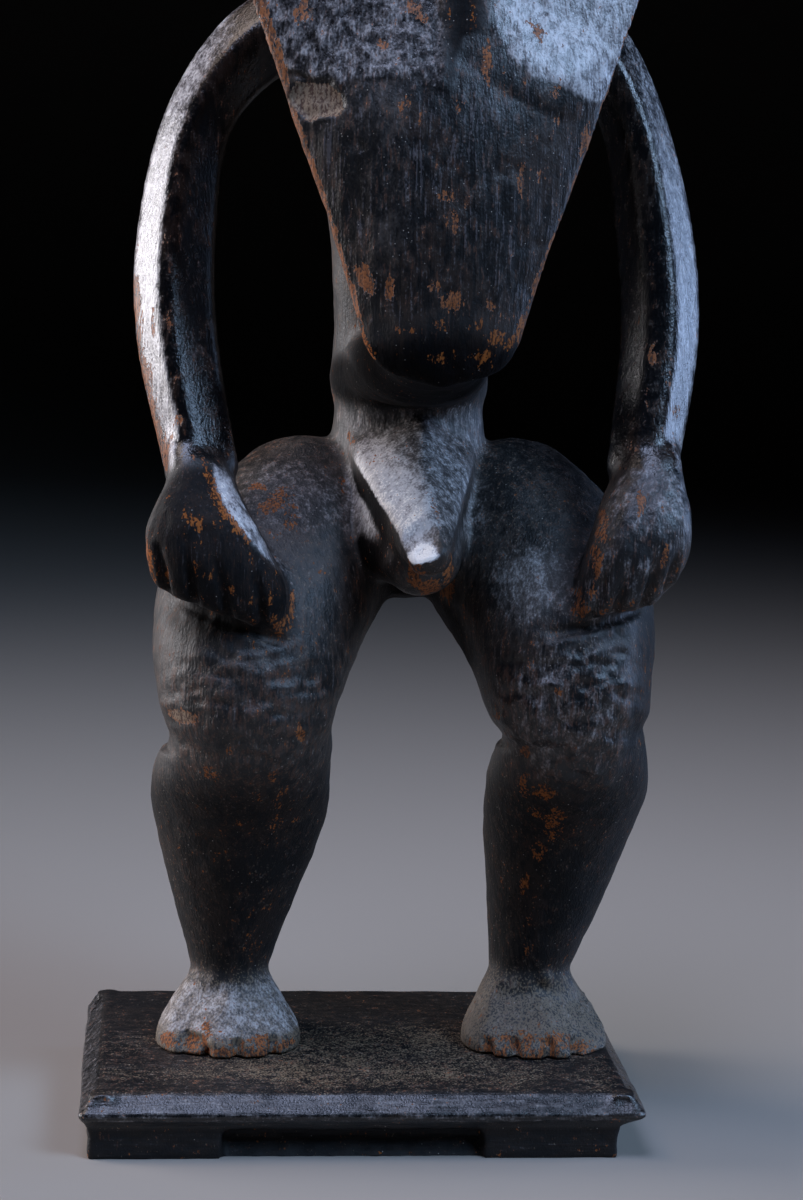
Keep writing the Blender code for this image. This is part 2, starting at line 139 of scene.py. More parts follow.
class Grit:
    """Smooth random fields in space, the same each time."""

    @staticmethod
    def hashed(cell: Array, seed: int) -> Array:
        """A random number from 0 to 1 for each whole-number cell."""
        k = cell.astype(np.int64) & 0xFFFFFFFF
        n = k[..., 0] * 374761393 + k[..., 1] * 668265263 + k[..., 2] * 2147483647 + seed * 974634777
        n &= 0xFFFFFFFF
        n = ((n ^ (n >> 13)) * 1274126177) & 0xFFFFFFFF
        n = ((n ^ (n >> 16)) * 2246822519) & 0xFFFFFFFF
        return ((n ^ (n >> 13)) & 0xFFFFFF) / float(0xFFFFFF)

    @classmethod
    def swell(cls, points: Array, size: float | Triple, seed: int, octaves: int = 1) -> Array:
        """Rolling noise from -1 to 1.

        Args:
            points: places in mm.
            size: the length of one wave in mm, or one for each direction.
            seed: picks the pattern.
            octaves: how many finer layers are laid over it, each half as long and half as strong.

        Returns:
            The noise at each place.
        """
        total = np.zeros(len(points))
        weight = 0.0
        for octave in range(octaves):
            spot = points / (np.array(size, float) / 2 ** octave) + 17.3 * octave
            cell = np.floor(spot)
            f = spot - cell
            f = f * f * f * (f * (f * 6 - 15) + 10)
            value = np.zeros(len(points))
            for dx in (0, 1):
                for dy in (0, 1):
                    for dz in (0, 1):
                        share = ((f[:, 0] if dx else 1 - f[:, 0]) * (f[:, 1] if dy else 1 - f[:, 1])
                                 * (f[:, 2] if dz else 1 - f[:, 2]))
                        value += share * cls.hashed(cell + (dx, dy, dz), seed + octave)
            total += (value * 2 - 1) * 0.5 ** octave
            weight += 0.5 ** octave
        return total / weight

    @classmethod
    def scoops(cls, points: Array, size: float | Triple, seed: int) -> Array:
        """The surface that short gouge or adze cuts leave: shallow bowls that meet in crests.

        Args:
            points: places in mm.
            size: the length of one cut in mm, or one for each direction.
            seed: picks the pattern.

        Returns:
            The height at each place, 0 in the middle of a bowl and about 1 on a crest.
        """
        spot = points / np.array(size, float)
        cell = np.floor(spot)
        nearest = np.full(len(points), 9.0)
        for dx in (-1, 0, 1):
            for dy in (-1, 0, 1):
                for dz in (-1, 0, 1):
                    other = cell + (dx, dy, dz)
                    middle = other + np.stack([cls.hashed(other, seed + k) for k in (0, 7, 13)], axis=-1)
                    nearest = np.minimum(nearest, ((spot - middle) ** 2).sum(1))
        return nearest.clip(0, 1.2)


def add_node(tree: bpy.types.NodeTree, kind: str, inputs: dict | None = None,
             **settings: object) -> bpy.types.Node:
    """Adds a node and fills its sockets.

    Args:
        tree: the tree it goes in.
        kind: the node's type.
        inputs: for each socket, by name or number, either a value or the socket that feeds it.
        **settings: the node's own settings.

    Returns:
        The node.
    """
    node = tree.nodes.new(kind)
    for label, value in settings.items():
        setattr(node, label, value)
    for label, value in (inputs or {}).items():
        socket = node.inputs[label]
        if isinstance(value, bpy.types.NodeSocket):
            tree.links.new(value, socket)
        else:
            socket.default_value = value
    return node


# ---- Where things are

@dataclass(frozen=True)
class Layout:
    """Ties the carving's millimetres to the frame: the plinth's middle is the carving's zero."""

    shift: Triple

    @classmethod
    def from_frame(cls) -> Layout:
        """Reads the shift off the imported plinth."""
        low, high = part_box("plinth")
        return cls(((low[0] + high[0]) / 2 / MM, (low[1] + high[1]) / 2 / MM, low[2] / MM))

    def metres(self, places: Array) -> Array:
        """Places of the carving as places in the frame, in metres."""
        return (np.asarray(places, float) + self.shift) * MM

    def carving(self, places: Array) -> Array:
        """Places in the frame, in metres, as places of the carving."""
        return np.asarray(places, float) / MM - self.shift


# ---- The skin while it is carved

class Skin:
    """A closed mesh, held as arrays of numbers while it is carved."""

    def __init__(self, thing: bpy.types.Object, layout: Layout) -> None:
        """Reads the mesh of an object that stands in the frame's metres."""
        self.thing = thing
        self.layout = layout
        mesh = thing.data
        self.count = len(mesh.vertices)
        flat = np.empty(self.count * 3)
        mesh.vertices.foreach_get("co", flat)
        self.place = layout.carving(flat.reshape(-1, 3))
        ends = np.empty(len(mesh.edges) * 2, np.int64)
        mesh.edges.foreach_get("vertices", ends)
        self.ends = ends.reshape(-1, 2)
        self.degree = np.bincount(ends, minlength=self.count)
        self.facing = np.empty((self.count, 3))
        self.write()

    @property
    def x(self) -> Array:
        """How far right each point is."""
        return self.place[:, 0]

    @property
    def y(self) -> Array:
        """How far back each point is."""
        return self.place[:, 1]

    @property
    def z(self) -> Array:
        """How high each point is."""
        return self.place[:, 2]

    def write(self) -> None:
        """Puts the places back into the mesh and reads which way the skin faces."""
        mesh = self.thing.data
        mesh.vertices.foreach_set("co", self.layout.metres(self.place).ravel())
        mesh.update()
        flat = np.empty(self.count * 3)
        mesh.vertex_normals.foreach_get("vector", flat)
        self.facing = flat.reshape(-1, 3)

    def around(self, values: Array) -> Array:
        """The mean of each point's neighbours, for one value or three at each point."""
        a, b = self.ends.T
        columns = values if values.ndim == 2 else values[:, None]
        out = np.empty_like(columns)
        for i in range(columns.shape[1]):
            column = columns[:, i]
            total = np.bincount(a, column[b], self.count) + np.bincount(b, column[a], self.count)
            out[:, i] = total / self.degree
        return out if values.ndim == 2 else out[:, 0]

    def hollowness(self, passes: int) -> Array:
        """How hollow the skin is at each point, in mm: above 0 in a groove, below 0 on a crest.

        Args:
            passes: how far the reading is spread.

        Returns:
            The reading at each point.
        """
        bend = ((self.around(self.place) - self.place) * self.facing).sum(1)
        for _ in range(passes):
            bend = self.around(bend)
        return bend

    def soften(self, passes: int, hollows: float, crests: float, where: Array | float = 1.0) -> None:
        """Rounds the skin as wear does.

        Args:
            passes: how often.
            hollows: how much of the way to its neighbours a point in a groove goes each time, from 0 to 1.
            crests: the same for a point on a crest.
            where: how much of this each point gets.
        """
        for turn in range(passes):
            step = self.around(self.place) - self.place
            inward = (step * self.facing).sum(1) < 0
            share = np.where(inward, crests, hollows) * where
            self.place = self.place + step * share[:, None]
            if turn % 4 == 3:
                self.write()
        self.write()

    def push(self, amount: Array) -> None:
        """Moves the skin outwards by an amount in mm at each point, inwards where it is below 0."""
        self.place = self.place + self.facing * amount[:, None]
        self.write()

    def shave(self, on: Triple, outward: Triple, where: Array, keep: float = 0.0) -> None:
        """Cuts the skin back to a flat plane, as one long knife cut does.

        Args:
            on: a point of the plane.
            outward: the way the new face looks.
            where: how much of the cut each point gets, from 0 to 1.
            keep: how much of what stands proud of the plane is left, from 0 to 1.
        """
        way = np.array(outward, float)
        way /= np.linalg.norm(way)
        proud = ((self.place - on) @ way).clip(0.0, None) * where * (1 - keep)
        self.place = self.place - way * proud[:, None]
        self.write()

    def line(self, points: Line, reach: float, power: float = 1.5) -> Array:
        """How near each point is to a line drawn on the front: 1 on it, 0 from reach away.

        Args:
            points: x and z of the line's points.
            reach: how far it reaches to its sides, in mm.
            power: higher makes it narrower.

        Returns:
            The nearness at each point.
        """
        seen = self.place[:, [0, 2]]
        nearest = np.full(self.count, np.inf)
        for start, end in zip(points, points[1:]):
            a, b = np.array(start), np.array(end)
            t = ((seen - a) @ (b - a)) / ((b - a) @ (b - a))
            gap = seen - (a + t.clip(0, 1)[:, None] * (b - a))
            nearest = np.minimum(nearest, (gap ** 2).sum(1))
        return (1 - nearest / reach ** 2).clip(0, 1) ** power

    def outline(self, points: Line, fade: float) -> Array:
        """How far inside a closed outline drawn on the front each point is, faded at the edge.

        Args:
            points: x and z of the outline's corners.
            fade: width of the edge in mm.

        Returns:
            1 well inside, 0 outside.
        """
        seen = self.place[:, [0, 2]]
        ring = np.array(points, float)
        inside = np.zeros(self.count, bool)
        nearest = np.full(self.count, np.inf)
        for a, b in zip(ring, np.roll(ring, -1, axis=0)):
            t = (((seen - a) @ (b - a)) / ((b - a) @ (b - a))).clip(0, 1)
            nearest = np.minimum(nearest, ((seen - a - t[:, None] * (b - a)) ** 2).sum(1))
            crosses = (a[1] > seen[:, 1]) != (b[1] > seen[:, 1])
            rise = b[1] - a[1] if b[1] != a[1] else 1.0
            inside ^= crosses & (seen[:, 0] < (b[0] - a[0]) * (seen[:, 1] - a[1]) / rise + a[0])
        depth = np.sqrt(nearest) * np.where(inside, 1, -1)
        return ramp(depth, -fade / 2, fade / 2)

    def noise(self, where: Array, size: float | Triple, seed: int, octaves: int = 1) -> Array:
        """Rolling noise from -1 to 1 times a mask, worked out only where the mask isn't 0."""
        out = np.zeros(self.count)
        used = where > 0.001
        out[used] = Grit.swell(self.place[used], size, seed, octaves) * where[used]
        return out

    def cuts(self, where: Array, size: float | Triple, seed: int) -> Array:
        """The crests that gouge cuts leave, 0 to 1, times a mask, worked out only where the mask isn't 0."""
        out = np.zeros(self.count)
        used = where > 0.001
        out[used] = Grit.scoops(self.place[used], size, seed) * where[used]
        return out

    def near(self, middle: Triple, size: Triple, fade: float = 0.4) -> Array:
        """A soft egg-shaped mask round a place: 1 inside, 0 outside, with the fade as a share of its size."""
        far = np.sqrt((((self.place - middle) / size) ** 2).sum(1))
        return ramp(far, 1 + fade / 2, 1 - fade / 2)

    def fronts(self, least: float = 0.2, full: float = 0.5) -> Array:
        """How far the skin faces the viewer, from 0 to 1."""
        return ramp(-self.facing[:, 1], least, full)


@dataclass(frozen=True)
class Zone:
    """A soft egg-shaped place: its middle, its half sizes and the share of them that its edge takes."""

    middle: Triple
    size: Triple
    fade: float

    def on(self, skin: Skin) -> Array:
        """How much each point belongs to the place, from 0 to 1."""
        return skin.near(self.middle, self.size, self.fade)


@dataclass(frozen=True)
class Mark:
    """One worn, chipped or stained place: its middle, half width, half height, lean in degrees and strength."""

    x: float
    y: float
    z: float
    wide: float
    high: float
    lean: float = 0.0
    strength: float = 1.0
    DEPTH = 3.0                    # how far it reaches into the wood, in mm

    def on(self, places: Array) -> Array:
        """How strongly the mark shows at each place: its strength in the middle, 0 at twice its size."""
        turn = math.radians(self.lean)
        dx, dy, dz = (places - (self.x, self.y, self.z)).T
        across = dx * math.cos(turn) - dz * math.sin(turn)
        along = dx * math.sin(turn) + dz * math.cos(turn)
        far = (across / self.wide) ** 2 + (along / self.high) ** 2 + (dy / self.DEPTH) ** 2
        return self.strength * (1 - far / 4).clip(0, 1)


def stand(name: str, data: bpy.types.ID) -> bpy.types.Object:
    """Makes an object of some data and puts it in the scene."""
    thing = bpy.data.objects.new(name, data)
    bpy.context.scene.collection.objects.link(thing)
    return thing


def settle(thing: bpy.types.Object) -> None:
    """Replaces an object's mesh by what its modifiers make of it."""
    view = bpy.context.evaluated_depsgraph_get()
    finished = bpy.data.meshes.new_from_object(thing.evaluated_get(view))
    thing.modifiers.clear()
    thing.data = finished


def melt(thing: bpy.types.Object, step: float) -> None:
    """Melts overlapping forms into one even skin, with a step of so many mm from point to point."""
    remesh = thing.modifiers.new("one block", "REMESH")
    remesh.mode = "VOXEL"
    remesh.voxel_size = step * MM
    settle(thing)


def count_faces(thing: bpy.types.Object) -> None:
    """Logs how many triangles a piece has."""
    log.info("%s: %d triangles", thing.name, sum(len(p.vertices) - 2 for p in thing.data.polygons))


def join_loops(bm: bmesh.types.BMesh, loops: list[list[bmesh.types.BMVert]]) -> None:
    """Skins a row of rings and closes both ends.

    Args:
        bm: the mesh that the rings are in.
        loops: the rings, each with as many points as the others.
    """
    faces = []
    count = len(loops[0])
    for lower, upper in zip(loops, loops[1:]):
        for i in range(count):
            j = (i + 1) % count
            faces.append(bm.faces.new((lower[i], lower[j], upper[j], upper[i])))
    faces.append(bm.faces.new(loops[0][::-1]))
    faces.append(bm.faces.new(loops[-1]))
    bmesh.ops.recalc_face_normals(bm, faces=faces)


# ---- The forms of the man

@dataclass(frozen=True)
class Limb:
    """A form that runs through rows of x, y, z, half width and half depth."""

    rows: tuple[Row, ...]
    across: Triple = (1.0, 0.0, 0.0)           # the way in which a section's width runs
    edge: float = 2.0              # 2 is round, over 2 is squarish
    egg: float = 0.0               # how much wider a section is at its front, as a share
    flats: Line = ()               # long knife cuts: the way each looks, in degrees, and how far out
    dome: tuple[float, float] = (0.0, 0.0)     # how far a round end reaches past the first and the last row
    level: bool = False            # whether the sections lie level, not square to the run
    slope: float = 0.0             # how much the sections fall for each mm to the right
    STEPS = 10                     # sections for each row given
    POINTS = 72                    # points round a section
    DOME = (12, 25, 38, 50, 60, 70, 78, 85)    # where the sections of a round end are, in degrees
    LEAST = 1e-6                   # keeps a flat's reach from a division by 0

    def add_to(self, bm: bmesh.types.BMesh, layout: Layout) -> None:
        """Adds the closed form to a mesh.

        Args:
            bm: the mesh.
            layout: ties the rows to the frame.
        """
        table = curve_through(self.rows, self.STEPS)
        places = table[:, :3]
        ways = np.gradient(places, axis=0)
        ways /= np.linalg.norm(ways, axis=1)[:, None]
        if self.level:
            ways[:] = np.array([0.0, 0.0, 1.0]) * np.sign(places[-1, 2] - places[0, 2])
        rings = list(zip(places, table[:, 3:5], ways))
        for end, sign in ((0, -1), (-1, 1)):
            if self.dome[end] > 0:
                place, half, way = rings[end]
                extra = []
                for angle in self.DOME:
                    a = math.radians(angle)
                    reach = way * self.dome[end] * math.sin(a) * sign
                    extra.append((place + reach, half * math.cos(a), way))
                rings = extra[::-1] + rings if end == 0 else rings + extra
        angles = np.arange(self.POINTS) * 2 * math.pi / self.POINTS
        c = np.copysign(abs(np.cos(angles)) ** (2 / self.edge), np.cos(angles))
        s = np.copysign(abs(np.sin(angles)) ** (2 / self.edge), np.sin(angles))
        for looks, out in self.flats:
            a = math.radians(looks)
            share = np.minimum(1.0, out / np.maximum(c * math.cos(a) + s * math.sin(a), self.LEAST))
            c, s = c * share, s * share
        loops = []
        for place, half, way in rings:
            u = np.array(self.across, float)
            u -= way * u.dot(way)
            u /= np.linalg.norm(u)
            v = np.cross(u, way)
            ring = np.outer(half[0] * c * (1 + self.egg * s), u) + np.outer(half[1] * s, v)
            ring[:, 2] -= self.slope * ring[:, 0]
            loops.append([bm.verts.new(p) for p in layout.metres(place + ring)])
        join_loops(bm, loops)


@dataclass(frozen=True)
class Shield:
    """The huge flat face: rows of height, half width, and depth of the middle, the side edges and the back."""

    middle: float = 8.0            # x of the line down its middle
    rim: float = 1.7               # how thick its side edges are
    back_swell: float = 2.6        # how the back swells: higher is flatter
    rows: tuple[Row, ...] = (
        (114.0, 1.0, -35.0, -34.4, -31.6), (116.0, 7.6, -36.4, -34.4, -30.4),
        (119.4, 10.5, -37.4, -34.6, -29.6), (124.0, 12.0, -37.9, -34.4, -29.6),
        (135.0, 15.4, -38.0, -33.8, -28.0), (147.0, 19.8, -37.2, -32.2, -25.4),
        (156.0, 23.0, -35.6, -30.2, -22.6), (167.0, 27.0, -31.6, -26.8, -16.0),
        (178.0, 31.0, -28.6, -22.6, -8.0), (188.0, 31.6, -25.6, -18.8, -4.4),
        (196.0, 28.6, -22.6, -14.6, -3.0), (202.0, 23.4, -19.2, -11.4, -2.6),
        (206.4, 16.6, -15.6, -9.4, -3.2), (209.2, 8.6, -12.0, -8.2, -4.8), (210.2, 1.6, -8.8, -7.6, -6.2))
    HALF = 60                      # faces across the front
    STEPS = 10                     # sections for each row given

    def swell(self, z: float) -> float:
        """How the front swells at a height: near 1 is a roof with a ridge, higher is flat with round sides."""
        return 2.3 - 0.8 * float(ramp(np.array([z]), 150.0, 163.0)[0])

    def add_to(self, bm: bmesh.types.BMesh, layout: Layout) -> None:
        """Adds the closed shield to a mesh.

        Args:
            bm: the mesh.
            layout: ties the rows to the frame.
        """
        s = np.linspace(-1, 1, self.HALF + 1)
        loops = []
        for z, width, middle, side, back in curve_through(self.rows, self.STEPS):
            front = side + (middle - side) * (1 - abs(s) ** self.swell(z))
            behind = side + self.rim + (back - side - self.rim) * (1 - abs(s) ** self.back_swell)
            x = self.middle + width * s
            there = np.stack([x, front, np.full(len(x), z)], axis=1)
            back_again = np.stack([x, behind, np.full(len(x), z)], axis=1)[::-1]
            ring = np.vstack([there, back_again])
            loops.append([bm.verts.new(p) for p in layout.metres(ring)])
        join_loops(bm, loops)

    def at(self, z: Array) -> Array:
        """Half width, depth of the middle, of the edges and of the back at each height."""
        table = curve_through(self.rows, self.STEPS)
        return np.stack([np.interp(z, table[:, 0], table[:, k]) for k in (1, 2, 3, 4)])


# Where the black skin is worn or chipped away to the brown wood.
MARKS = tuple(Mark(*values) for values in (
    # the face
    (-11.9, -29.6, 165.2, 0.97, 1.38, 0, 0.8), (3.7, -32.1, 165.3, 0.69, 1.38, -35, 1),
    (8.1, -33.1, 164.7, 0.34, 1.38, 0, 0.9), (11.4, -32.5, 164.4, 0.55, 1.38, -20, 0.8),
    (13.4, -34.7, 157.9, 0.69, 2.35, 0, 0.8), (15.6, -34.8, 157.2, 0.28, 1.11, 0, 0.8),
    (20.4, -32, 163.2, 0.56, 1.11, -20, 0.8), (23.2, -33.6, 154.7, 0.56, 0.83, 0, 0.8),
    (23.4, -34, 151.5, 0.42, 0.83, 0, 0.6), (9.3, -36.4, 152.6, 0.82, 0.69, 0, 0.6),
    (2.4, -36, 153.3, 0.55, 0.82, 0, 0.6), (27.6, -32.2, 148.5, 0.7, 1.54, 15, 0.9),
    (-1, -33.3, 160.8, 0.55, 0.55, 0, 0.7), (18.2, -36.3, 142.3, 0.35, 1.8, 0, 0.7),
    (20.9, -35.3, 143.7, 0.42, 0.83, 0, 0.6), (7.8, -37.7, 140.3, 0.96, 0.55, 0, 0.7),
    (9.2, -37.9, 136.8, 0.34, 1.1, 0, 0.8), (-2.8, -35.6, 128.8, 1.66, 0.83, 60, 1),
    (0.4, -36.8, 127.8, 0.55, 1.1), (6.6, -37.9, 128.1, 0.83, 0.41, 0, 0.6), (9, -37.9, 126.1, 1.11, 0.97),
    (14.5, -37, 125.6, 0.56, 0.56, 0, 0.7), (7.4, -37.8, 122.8, 0.83, 0.55, 40, 0.9),
    (3, -37.2, 122, 1.11, 0.42, 0, 0.8), (12.1, -37.5, 122.5, 0.97, 0.56, -30, 0.8),
    (15.1, -36.5, 121.1, 0.84, 0.84, 0, 0.9), (13.6, -36.4, 118.7, 1.11, 0.7, -20, 1),
    (6.9, -37.1, 118.3, 1.67, 0.56), (19, -34.5, 122.1, 0.7, 1.96, 25, 1),
    (17.8, -35, 119.9, 0.84, 0.84, 40, 1),
    # the left arm
    (-34.6, -7, 122.4, 0.59, 2.93, 0, 0.9), (-34.1, -8.3, 117.4, 0.58, 2.63, 0, 0.9),
    (-33.2, -9.9, 112.4, 0.73, 2.92, -10, 0.9), (-32, -11.5, 107.4, 0.73, 2.91, -15, 0.9),
    (-30.5, -13.9, 102.8, 0.87, 2.32, -15, 1), (-29.8, -12.5, 121.4, 0.29, 1.45, 0, 0.6),
    (-25.6, -19.5, 101.4, 0.43, 1.44, -20, 0.8), (-32.1, -11.1, 120.9, 0.22, 1.74, 0, 0.6),
    (-28.3, -16.3, 107.2, 0.43, 1.15, 0, 0.5), (-29.2, -16, 104.2, 0.43, 0.87, 0, 0.6),
    # the left hand
    (-24.4, -19.8, 100.9, 0.36, 1.15, -25, 1), (-23.5, -21, 99, 0.5, 1.29, -25, 1),
    (-22.7, -22.4, 96.8, 0.5, 1.43, -20, 1), (-21.5, -23.6, 94.7, 0.43, 1.29, -40, 1),
    (-19.9, -24.6, 92.7, 0.43, 1.28, -45, 1), (-18.5, -25.2, 91.2, 0.29, 1, -45, 0.8),
    (-16.3, -21.7, 94.3, 0.72, 0.72, 0, 0.9), (-26.8, -23.8, 94, 0.57, 1, 0, 0.9),
    (-25.5, -24.6, 92.8, 0.71, 1.14, 0, 0.9), (-27.9, -25.3, 90, 0.28, 0.43, 0, 0.9),
    (-25.6, -25.8, 90.6, 0.21, 0.85, 0, 0.8), (-32.4, -22.9, 87.6, 0.57, 2.57),
    (-31.7, -24.8, 85.3, 0.57, 1.14, -20, 1), (-29.7, -25, 86.3, 0.28, 1.14, 0, 0.9),
    (-25.7, -26.6, 86.9, 0.21, 1.14, 0, 0.9), (-24.6, -27.5, 85.6, 0.85, 0.57),
    (-21.3, -27.5, 84.8, 0.36, 0.85, -25, 0.9), (-20.4, -27.7, 83.8, 0.57, 0.71),
    (-19.8, -27.9, 81, 0.21, 1.14, -10, 0.7), (-14.7, -25.7, 82.7, 0.72, 1.29, 0, 0.6),
    (-12.9, -21.5, 78.3, 1.3, 1.01, 0, 0.9), (-11.5, -20.1, 80.7, 0.29, 1.74),
    (-14.8, -22.2, 79.5, 0.72, 0.72, 0, 0.6),
    # the right arm
    (41, -13.5, 117.5, 0.45, 1.19, 0, 0.7), (39.9, -15.2, 111.6, 0.44, 1.33, 10, 0.7),
    (45.1, -14.5, 109.1, 0.59, 0.89, 0, 0.5), (43.2, -15, 114.1, 0.44, 1.04, 0, 0.5),
    # the right hand
    (34.2, -20.2, 99.2, 0.29, 1.17, 15, 0.8), (38.6, -22.8, 96.8, 0.58, 1.32, 0, 0.8),
    (33.3, -23.1, 94.4, 0.44, 1.17, 0, 0.8), (32.9, -24.4, 92, 0.58, 0.87, 0, 0.8),
    (32.2, -25.8, 88.4, 0.58, 1.74), (31.7, -26.3, 83.9, 0.58, 1.02, 0, 0.9), (30.2, -24.8, 81.6, 0.88, 1.9),
    (31.1, -26.4, 83, 0.44, 0.87, 0, 0.8), (41.8, -25.4, 89.7, 0.36, 1.6, 5, 0.9),
    (45.6, -22.4, 89.1, 0.22, 1.18, 0, 0.6), (36.2, -27.2, 84.7, 0.29, 1.74, 0, 0.5),
    # the loin
    (6.2, -19.7, 85.4, 0.58, 1.75, -20, 1), (8.7, -18, 83.3, 1.17, 1.32),
    (11.2, -18.6, 86.1, 0.59, 1.76, 0, 0.9), (12.3, -6.9, 81.4, 0.9, 1.21, 0, 0.9),
    (8.9, -22.1, 95.4, 0.43, 1.45, -10, 0.5), (-2.1, -0.2, 103.7, 0.6, 0.6, 0, 0.5),
    (-3.6, -5.1, 96.7, 0.37, 1.8, 0, 0.5), (-2.1, -10.8, 89.3, 0.37, 2.08, -10, 0.5),
    # the left leg
    (-27.4, -20.4, 64.4, 1.6, 0.73), (-10, -21.6, 62.3, 0.44, 1.17, 0, 0.9),
    (-23.1, -19.8, 55.7, 0.88, 0.88, 0, 0.6), (-20.5, -22.4, 58.8, 0.44, 1.45, 0, 0.6),
    (-14, -20.2, 55.4, 0.73, 0.59, 0, 0.6), (-12.3, -17.5, 52.6, 0.44, 1.47, 20, 0.5),
    (-13.2, -14.3, 47.7, 0.37, 2.08, 15, 0.5), (-14, -11.8, 43.3, 0.37, 1.5, 15, 0.5),
    (-18.9, -15, 47.3, 0.44, 0.44, 0, 0.6), (-16.3, -6.3, 30.6, 0.46, 0.91, 0, 0.5),
    (-16.7, -5.3, 28, 0.38, 0.61, 0, 0.5), (-13.8, -8.7, 94.8, 2.37, 1.04, -30, 0.7),
    (-11.7, -10.9, 92.9, 0.89, 1.33, 0, 0.7), (-16.3, -6, 96.3, 1.19, 0.6, 0, 0.6),
    # the right leg
    (26.8, -24, 69.4, 0.59, 0.59, 0, 0.8), (19.4, -16.9, 64.1, 0.45, 0.59, 0, 0.9),
    (23.4, -18.9, 59.3, 0.45, 0.74, 0, 0.9), (23.7, -15.9, 53.4, 0.45, 1.65), (26.5, -17.6, 52.9, 1.2, 0.9),
    (25.6, -14.3, 48.8, 0.6, 0.6, 0, 0.8), (28.4, -14.5, 47.3, 1.21, 1.96, 0, 0.9),
    (26.8, -11, 42, 0.91, 1.37, 0, 0.7), (25.3, -7.7, 36.6, 0.61, 1.23, 0, 0.9),
    (26.2, -5.6, 29.6, 0.46, 0.93, 0, 0.5), (26.3, -4.4, 25.2, 0.47, 1.24, 0, 0.5),
    # the feet
    (-28.7, -7, 11.6, 1.22, 0.76, 0, 0.9), (-25.4, -9.5, 11.5, 1.82, 0.61, 0, 0.9),
    (-22.6, -8.2, 13.6, 0.46, 1.21, 0, 0.8), (-20.8, -10.7, 10.9, 1.51, 0.6, 0, 0.9),
    (-15.4, -10.4, 10.6, 1.67, 0.61, 0, 0.9), (-10.7, -7.6, 11.3, 1.22, 0.61, 0, 0.9),
    (18.2, -7, 10.8, 1.24, 0.62, 0, 0.5), (21.9, -10.3, 10.6, 1.23, 0.61, 0, 0.6),
    (26.7, -11.4, 10.4, 1.84, 0.61, 0, 0.7), (31.3, -11.1, 11.3, 1.38, 0.62, 0, 0.5),
))


# ---- The parts of the man. Each row of a limb is x, y, z, half width, half depth.

@dataclass(frozen=True)
class Leg:
    """One bent leg: foot, shin and thigh, with its toes, its knee and the step at the back of the knee."""

    foot: tuple[Row, ...]
    shin: tuple[Row, ...]
    thigh: tuple[Row, ...]
    toe_gaps: Line                 # x and top of each cut between two toes
    knee: Triple
    knee_size: Triple
    knee_lumps: float              # height of the crumpled skin on the knee, in mm
    step: Triple                   # the notch at the back of the knee, where the calf begins with a step
    foot_cuts: tuple[tuple[Triple, Triple], ...]     # knife flats on the foot: a point and the way each looks
    seed: int
    broken: Line = ()              # outline of a toe that has broken away
    knob: Triple | None = None     # a knob left standing on the ankle
    knee_wave: Triple = (3.4, 3.4, 2.2)        # size of the crumples, in mm
    toe_depth: float = 1.2
    toe_reach: float = 1.05
    break_depth: float = 0.9
    knob_height: float = 0.9
    step_depth: float = 0.8

    def rough(self, bm: bmesh.types.BMesh, layout: Layout) -> None:
        """Adds the leg's forms."""
        Limb(self.foot, edge=2.3, egg=0.14, level=True).add_to(bm, layout)
        Limb(self.shin, edge=1.9, level=True, dome=(0.0, 7.0)).add_to(bm, layout)
        Limb(self.thigh, edge=2.1, dome=(12.0, 5.0)).add_to(bm, layout)

    def carve(self, skin: Skin) -> None:
        """Cuts the toes and crumples the knee."""
        x0, y0, z0 = self.foot[1][:3]
        foot = skin.near((x0, y0 - 4, z0), (14.0, 14.0, 8.0), 0.3)
        for on, way in self.foot_cuts:
            skin.shave(on, way, foot, 0.2)
        low = (skin.y < -3) * ramp(skin.z, 18, 15)
        gaps = [skin.line(((x, 8.0), (x, top - 0.3)), self.toe_reach, 1.2) for x, top in self.toe_gaps]
        out = -self.toe_depth * (strongest(*gaps) * low)
        if self.broken:
            out -= self.break_depth * skin.outline(self.broken, 0.5) * low
        if self.knob:
            out += self.knob_height * skin.near(self.knob, (1.3, 2.0, 1.3), 1.0)
        notch = skin.near(self.step, (4.5, 8.0, 3.0), 1.0)
        notch *= ramp(skin.z, self.step[2] - 1.4, self.step[2] - 0.2)
        skin.push(out - self.step_depth * notch)
        knee = skin.near(self.knee, self.knee_size, 0.8) * skin.fronts(-0.2, 0.3)
        ripple = skin.noise(knee, self.knee_wave, self.seed, 3)
        dents = skin.cuts(knee, (2.2, 2.2, 1.4), self.seed + 3)
        skin.push(self.knee_lumps * (1.2 * ripple + 0.9 * dents - 0.4 * knee))


